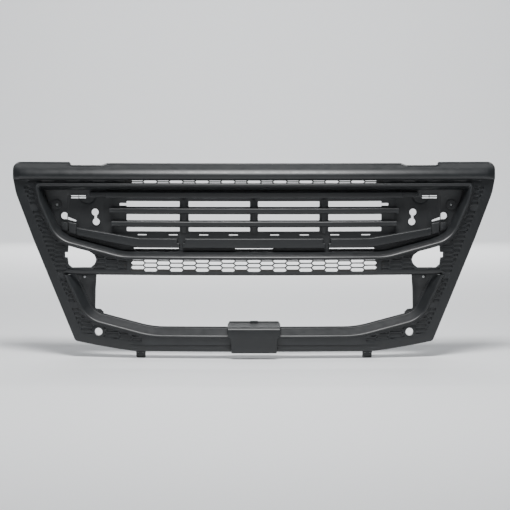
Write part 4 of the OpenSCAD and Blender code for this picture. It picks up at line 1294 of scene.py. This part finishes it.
def repeater():
    """The node tree that sets one pattern at every point, turned along its direction."""
    tree = bpy.data.node_groups.new("fastener_repeater", "GeometryNodeTree")
    for name, kind in (("Points", "NodeSocketGeometry"), ("Fastener", "NodeSocketObject"),
                       ("Twist seed", "NodeSocketInt"), ("Finish", "NodeSocketMaterial")):
        tree.interface.new_socket(name=name, in_out="INPUT", socket_type=kind)
    tree.interface.new_socket(name="Fasteners", in_out="OUTPUT", socket_type="NodeSocketGeometry")
    node, link = tree.nodes.new, tree.links.new
    start, end = node("NodeGroupInput"), node("NodeGroupOutput")
    pattern = node("GeometryNodeObjectInfo")
    pattern.inputs["As Instance"].default_value = True
    direction = node("GeometryNodeInputNamedAttribute")
    direction.data_type = "FLOAT_VECTOR"
    direction.inputs["Name"].default_value = "direction"
    align = node("FunctionNodeAlignRotationToVector")
    align.axis = "Y"
    chance = node("FunctionNodeRandomValue")
    chance.data_type = "FLOAT"
    chance.inputs[3].default_value = math.pi
    twist = node("FunctionNodeAxisAngleToRotation")
    twist.inputs["Axis"].default_value = (0, 1, 0)
    turn = node("FunctionNodeRotateRotation")
    turn.rotation_space = "LOCAL"
    spread = node("GeometryNodeInstanceOnPoints")
    real = node("GeometryNodeRealizeInstances")
    finish = node("GeometryNodeSetMaterial")
    link(start.outputs["Points"], spread.inputs["Points"])
    link(start.outputs["Fastener"], pattern.inputs["Object"])
    link(pattern.outputs["Geometry"], spread.inputs["Instance"])
    link(direction.outputs["Attribute"], align.inputs["Vector"])
    link(start.outputs["Twist seed"], chance.inputs["Seed"])
    link(chance.outputs[1], twist.inputs["Angle"])
    link(align.outputs["Rotation"], turn.inputs["Rotation"])
    link(twist.outputs["Rotation"], turn.inputs["Rotate By"])
    link(turn.outputs["Rotation"], spread.inputs["Rotation"])
    link(spread.outputs["Instances"], real.inputs["Geometry"])
    link(real.outputs["Geometry"], finish.inputs["Geometry"])
    link(start.outputs["Finish"], finish.inputs["Material"])
    link(finish.outputs["Geometry"], end.inputs["Fasteners"])
    return tree


fastener_tree = repeater()


def repeated(name, pattern, seats, seed=3):
    """A pattern set at every (point, direction) seat, as one plain mesh."""
    mesh = bpy.data.meshes.new(name)
    mesh.from_pydata([tuple(p) for p, _ in seats], [], [])
    directions = mesh.attributes.new("direction", "FLOAT_VECTOR", "POINT")
    directions.data.foreach_set("vector", [c for _, d in seats for c in d])
    piece = bpy.data.objects.new(name, mesh)
    bpy.context.scene.collection.objects.link(piece)
    spread = piece.modifiers.new("repeat", "NODES")
    spread.node_group = fastener_tree
    values = {"Fastener": pattern, "Twist seed": seed, "Finish": steel}
    for item in fastener_tree.interface.items_tree:
        if item.in_out == "INPUT" and item.name in values:
            spread[item.identifier] = values[item.name]
    piece.update_tag()
    settle(piece)
    if not piece.data.materials:
        piece.data.materials.append(steel)
    shade(piece, 40)
    bpy.data.objects.remove(pattern)
    return piece


def solids_of(node_name):
    """The (low, high) corners, in millimetres, of each separate solid of a frame node."""
    work = bmesh.new()
    work.from_mesh(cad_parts[node_name].data)
    bmesh.ops.remove_doubles(work, verts=work.verts, dist=1e-6)
    left, found = set(work.verts), []
    while left:
        edge, group = [left.pop()], []
        while edge:
            v = edge.pop()
            group.append(v.co / MM)
            for e in v.link_edges:
                other = e.other_vert(v)
                if other in left:
                    left.remove(other)
                    edge.append(other)
        found.append(tuple(Vector([pick(p[k] for p in group) for k in range(3)]) for pick in (min, max)))
    work.free()
    return sorted(found, key=lambda box: tuple(round(c, 3) for c in box[0]))


def seats_along(boxes, axis, sign, head_t):
    """Seat points and directions for fasteners whose heads lie at one end of an axis."""
    seats = []
    for low, high in boxes:
        way = sign(low, high) if callable(sign) else sign
        at = (low + high) / 2
        at[axis] = high[axis] - head_t if way > 0 else low[axis] + head_t
        direction = Vector((0, 0, 0))
        direction[axis] = way
        seats.append((at * MM, direction))
    return seats


def span(boxes, axis):
    """The length along an axis of the first of some like boxes."""
    return boxes[0][1][axis] - boxes[0][0][axis]


for node_name in ("bezel_screws", "carrier_screws", "cover_screws"):
    boxes = solids_of(node_name)
    fit(repeated(node_name + "_set", screw(5, 3, span(boxes, 1) - 3), seats_along(boxes, 1, 1, 3)),
        "zinc_steel", node_name)
boxes = solids_of("slat_screws")
fit(repeated("slat_screws_set", screw(5, 3, span(boxes, 1) - 3), seats_along(boxes, 1, 1, 3), 11),
    "zinc_steel", "slat_screws")
boxes = solids_of("cheek_screws")
front_boxes = [box for box in boxes if box[0].z > -460]
rear_boxes = [box for box in boxes if box[0].z < -460]
fit(joined("cheek_screws_set", [
    repeated("cheek_front", screw(5, 3, span(front_boxes, 1) - 3), seats_along(front_boxes, 1, -1, 3)),
    repeated("cheek_rear", screw(5, 3, span(rear_boxes, 1) - 3), seats_along(rear_boxes, 1, 1, 3))]),
    "zinc_steel", "cheek_screws")
boxes = solids_of("boss_screws")
fit(repeated("boss_screws_set", screw(5.5, 3, span(boxes, 1) - 3), seats_along(boxes, 1, -1, 3)),
    "zinc_steel", "boss_screws")


def off_middle(low, high):
    """Which side of its bracket's middle a fastener lies on."""
    middle = (low.x + high.x) / 2
    return 1 if middle > math.copysign(HINGE_X, middle) else -1


boxes = solids_of("bracket_bolts")
fit(repeated("bracket_bolts_set", screw(5, 3.45, span(boxes, 0) - 3.45),
             seats_along(boxes, 0, off_middle, 3.45)), "zinc_steel", "bracket_bolts")
boxes = solids_of("bracket_nuts")
fit(repeated("bracket_nuts_set", nut(5, span(boxes, 0), 2.45), seats_along(boxes, 0, 1, span(boxes, 0))),
    "zinc_steel", "bracket_nuts")
boxes = solids_of("boss_clip_nuts")
fit(repeated("boss_clip_nuts_set", clip_nut(), seats_along(boxes, 1, 1, 3.0)), "zinc_steel", "boss_clip_nuts")
boxes = solids_of("mesh_clips")
fit(repeated("mesh_clips_set", push_clip(3.2, 0.8, 1.85), seats_along(boxes, 1, 1, 0.8)),
    "zinc_steel", "mesh_clips")
boxes = solids_of("tongue_rivets")
fit(repeated("tongue_rivets_set", rivet(4.5, 1.55, span(boxes, 2) - 3.1), seats_along(boxes, 2, 1, 1.55)),
    "zinc_steel", "tongue_rivets")

# ---- Rubber pieces -------------------------------------------------------------
# A sponge strip along the rear of the top edge that meets the cab, and a moulded buffer
# pushed into a post at each side.

def rubber_material():
    """Matt black rubber with a fine pitted skin, scuffed edges, and pale bloom with painted top light on its
    up-facing faces.
    """
    # the pale up-facing tone is part bloom, part painted top light
    return moulded_plastic("black_rubber", (0.010, 0.010, 0.010), 0.78, 0.35, 0.10)


rubber = rubber_material()
seal_section = rounded([(-44, 20), (-34, 22), (-34, 31.6), (-44, 31.6)], [1.5, 3, 3, 1.5], 4)
cuts = 56
verts = [on_bow(565 * (2 * k / cuts - 1), z, d) for k in range(cuts + 1) for d, z in seal_section]
m = len(seal_section)
faces = [(k * m + j, k * m + (j + 1) % m, (k + 1) * m + (j + 1) % m, (k + 1) * m + j)
         for k in range(cuts) for j in range(m)]
faces += [tuple(range(m)), tuple(cuts * m + j for j in reversed(range(m)))]
seal = new_piece("top_seal_strip", verts, faces, rubber)
outward(seal)
soften(seal, 0.8)
shade(seal)
fit(seal, "rubber", "top_seal")

buffer_rings = [(0.3, -41.9), (3.2, -41.9), (4, -41), (4, -31.5), (3.6, -30.8), (3.6, -28.4), (3.8, -27.9),
                (12, -27.9), (13, -27), (13, -23.5), (11.8, -22.6), (11.8, -20.4), (13, -19.5), (13, -15),
                (11.8, -14.2), (11.8, -12), (12.4, -11.2), (11.6, -7.6), (10, -6.3), (7.5, -6), (3, -6),
                (2, -7), (0.3, -7)]
buffers = both(lambda s: turned("buffer", s * BUFFER[0], BUFFER[1], buffer_rings, rubber))
fit(joined("stop_buffers_pair", buffers), "rubber", "stop_buffers")

# ---- Stage -------------------------------------------------------------------
# A pale floor that sweeps up into a plain wall behind the panel, soft lamps and the camera.

def pale_paint():
    paint = bpy.data.materials.new("pale_stage_paint")
    paint.use_nodes = True
    shader = paint.node_tree.nodes["Principled BSDF"]
    shader.inputs["Base Color"].default_value = (0.78, 0.79, 0.80, 1)
    shader.inputs["Roughness"].default_value = 0.9
    return paint


floor_z = cad_box[0].z - 0.0005
sweep_r, half_stage, wall_y, wall_top = 3.0, 11.0, 10.0, 9.0
stage_line = [(-9.0, floor_z), (wall_y - sweep_r, floor_z)]
for k in range(1, 13):
    turn = k / 12 * math.pi / 2
    stage_line.append((wall_y - sweep_r + sweep_r * math.sin(turn), floor_z + sweep_r * (1 - math.cos(turn))))
stage_line.append((wall_y, floor_z + wall_top))
stage_verts = [(x, y, z) for y, z in stage_line for x in (-half_stage, half_stage)]
stage_faces = [(2 * i, 2 * i + 1, 2 * i + 3, 2 * i + 2) for i in range(len(stage_line) - 1)]
backdrop = new_piece("stage_sweep", stage_verts, stage_faces, pale_paint(), 60)

world = bpy.data.worlds.new("soft_room")
bpy.context.scene.world = world
world.use_nodes = True
world.node_tree.nodes["Background"].inputs["Color"].default_value = (0.80, 0.86, 0.95, 1)
world.node_tree.nodes["Background"].inputs["Strength"].default_value = 0.16


def lamp(name, place, aim, size, power):
    light = bpy.data.lights.new(name, "AREA")
    light.shape, light.size, light.size_y, light.energy = "RECTANGLE", size[0], size[1], power
    holder = bpy.data.objects.new(name, light)
    bpy.context.scene.collection.objects.link(holder)
    holder.location = place
    holder.rotation_euler = (Vector(aim) - Vector(place)).to_track_quat("-Z", "Y").to_euler()


lamp("overhead", (0, -1.55, 2.7), (0, -0.1, -0.3), (1.8, 0.9), 215)
lamp("front_fill", (0, -6.0, 0.5), (0, 0, -0.2), (4.0, 1.6), 18)
lamp("backdrop_wash", (0, 5.0, 6.0), (0, 9.0, 1.0), (9.0, 2.0), 760)
lamp("rear_fill", (0, 5.5, 0.9), (0, 0.2, -0.35), (4.5, 1.6), 110)

camera_data = bpy.data.cameras.new("camera")
camera = bpy.data.objects.new("camera", camera_data)
bpy.context.scene.collection.objects.link(camera)
bpy.context.scene.camera = camera
view_width, reach, tilt = 2.04, 6.0, math.radians(5)
camera_data.sensor_width = 36.0
camera_data.lens = 36.0 * reach / view_width
aim = Vector((0.004, -0.05, -0.332))
camera.location = aim + Vector((0, -math.cos(tilt), math.sin(tilt))) * reach
camera.rotation_euler = (aim - camera.location).to_track_quat("-Z", "Y").to_euler()
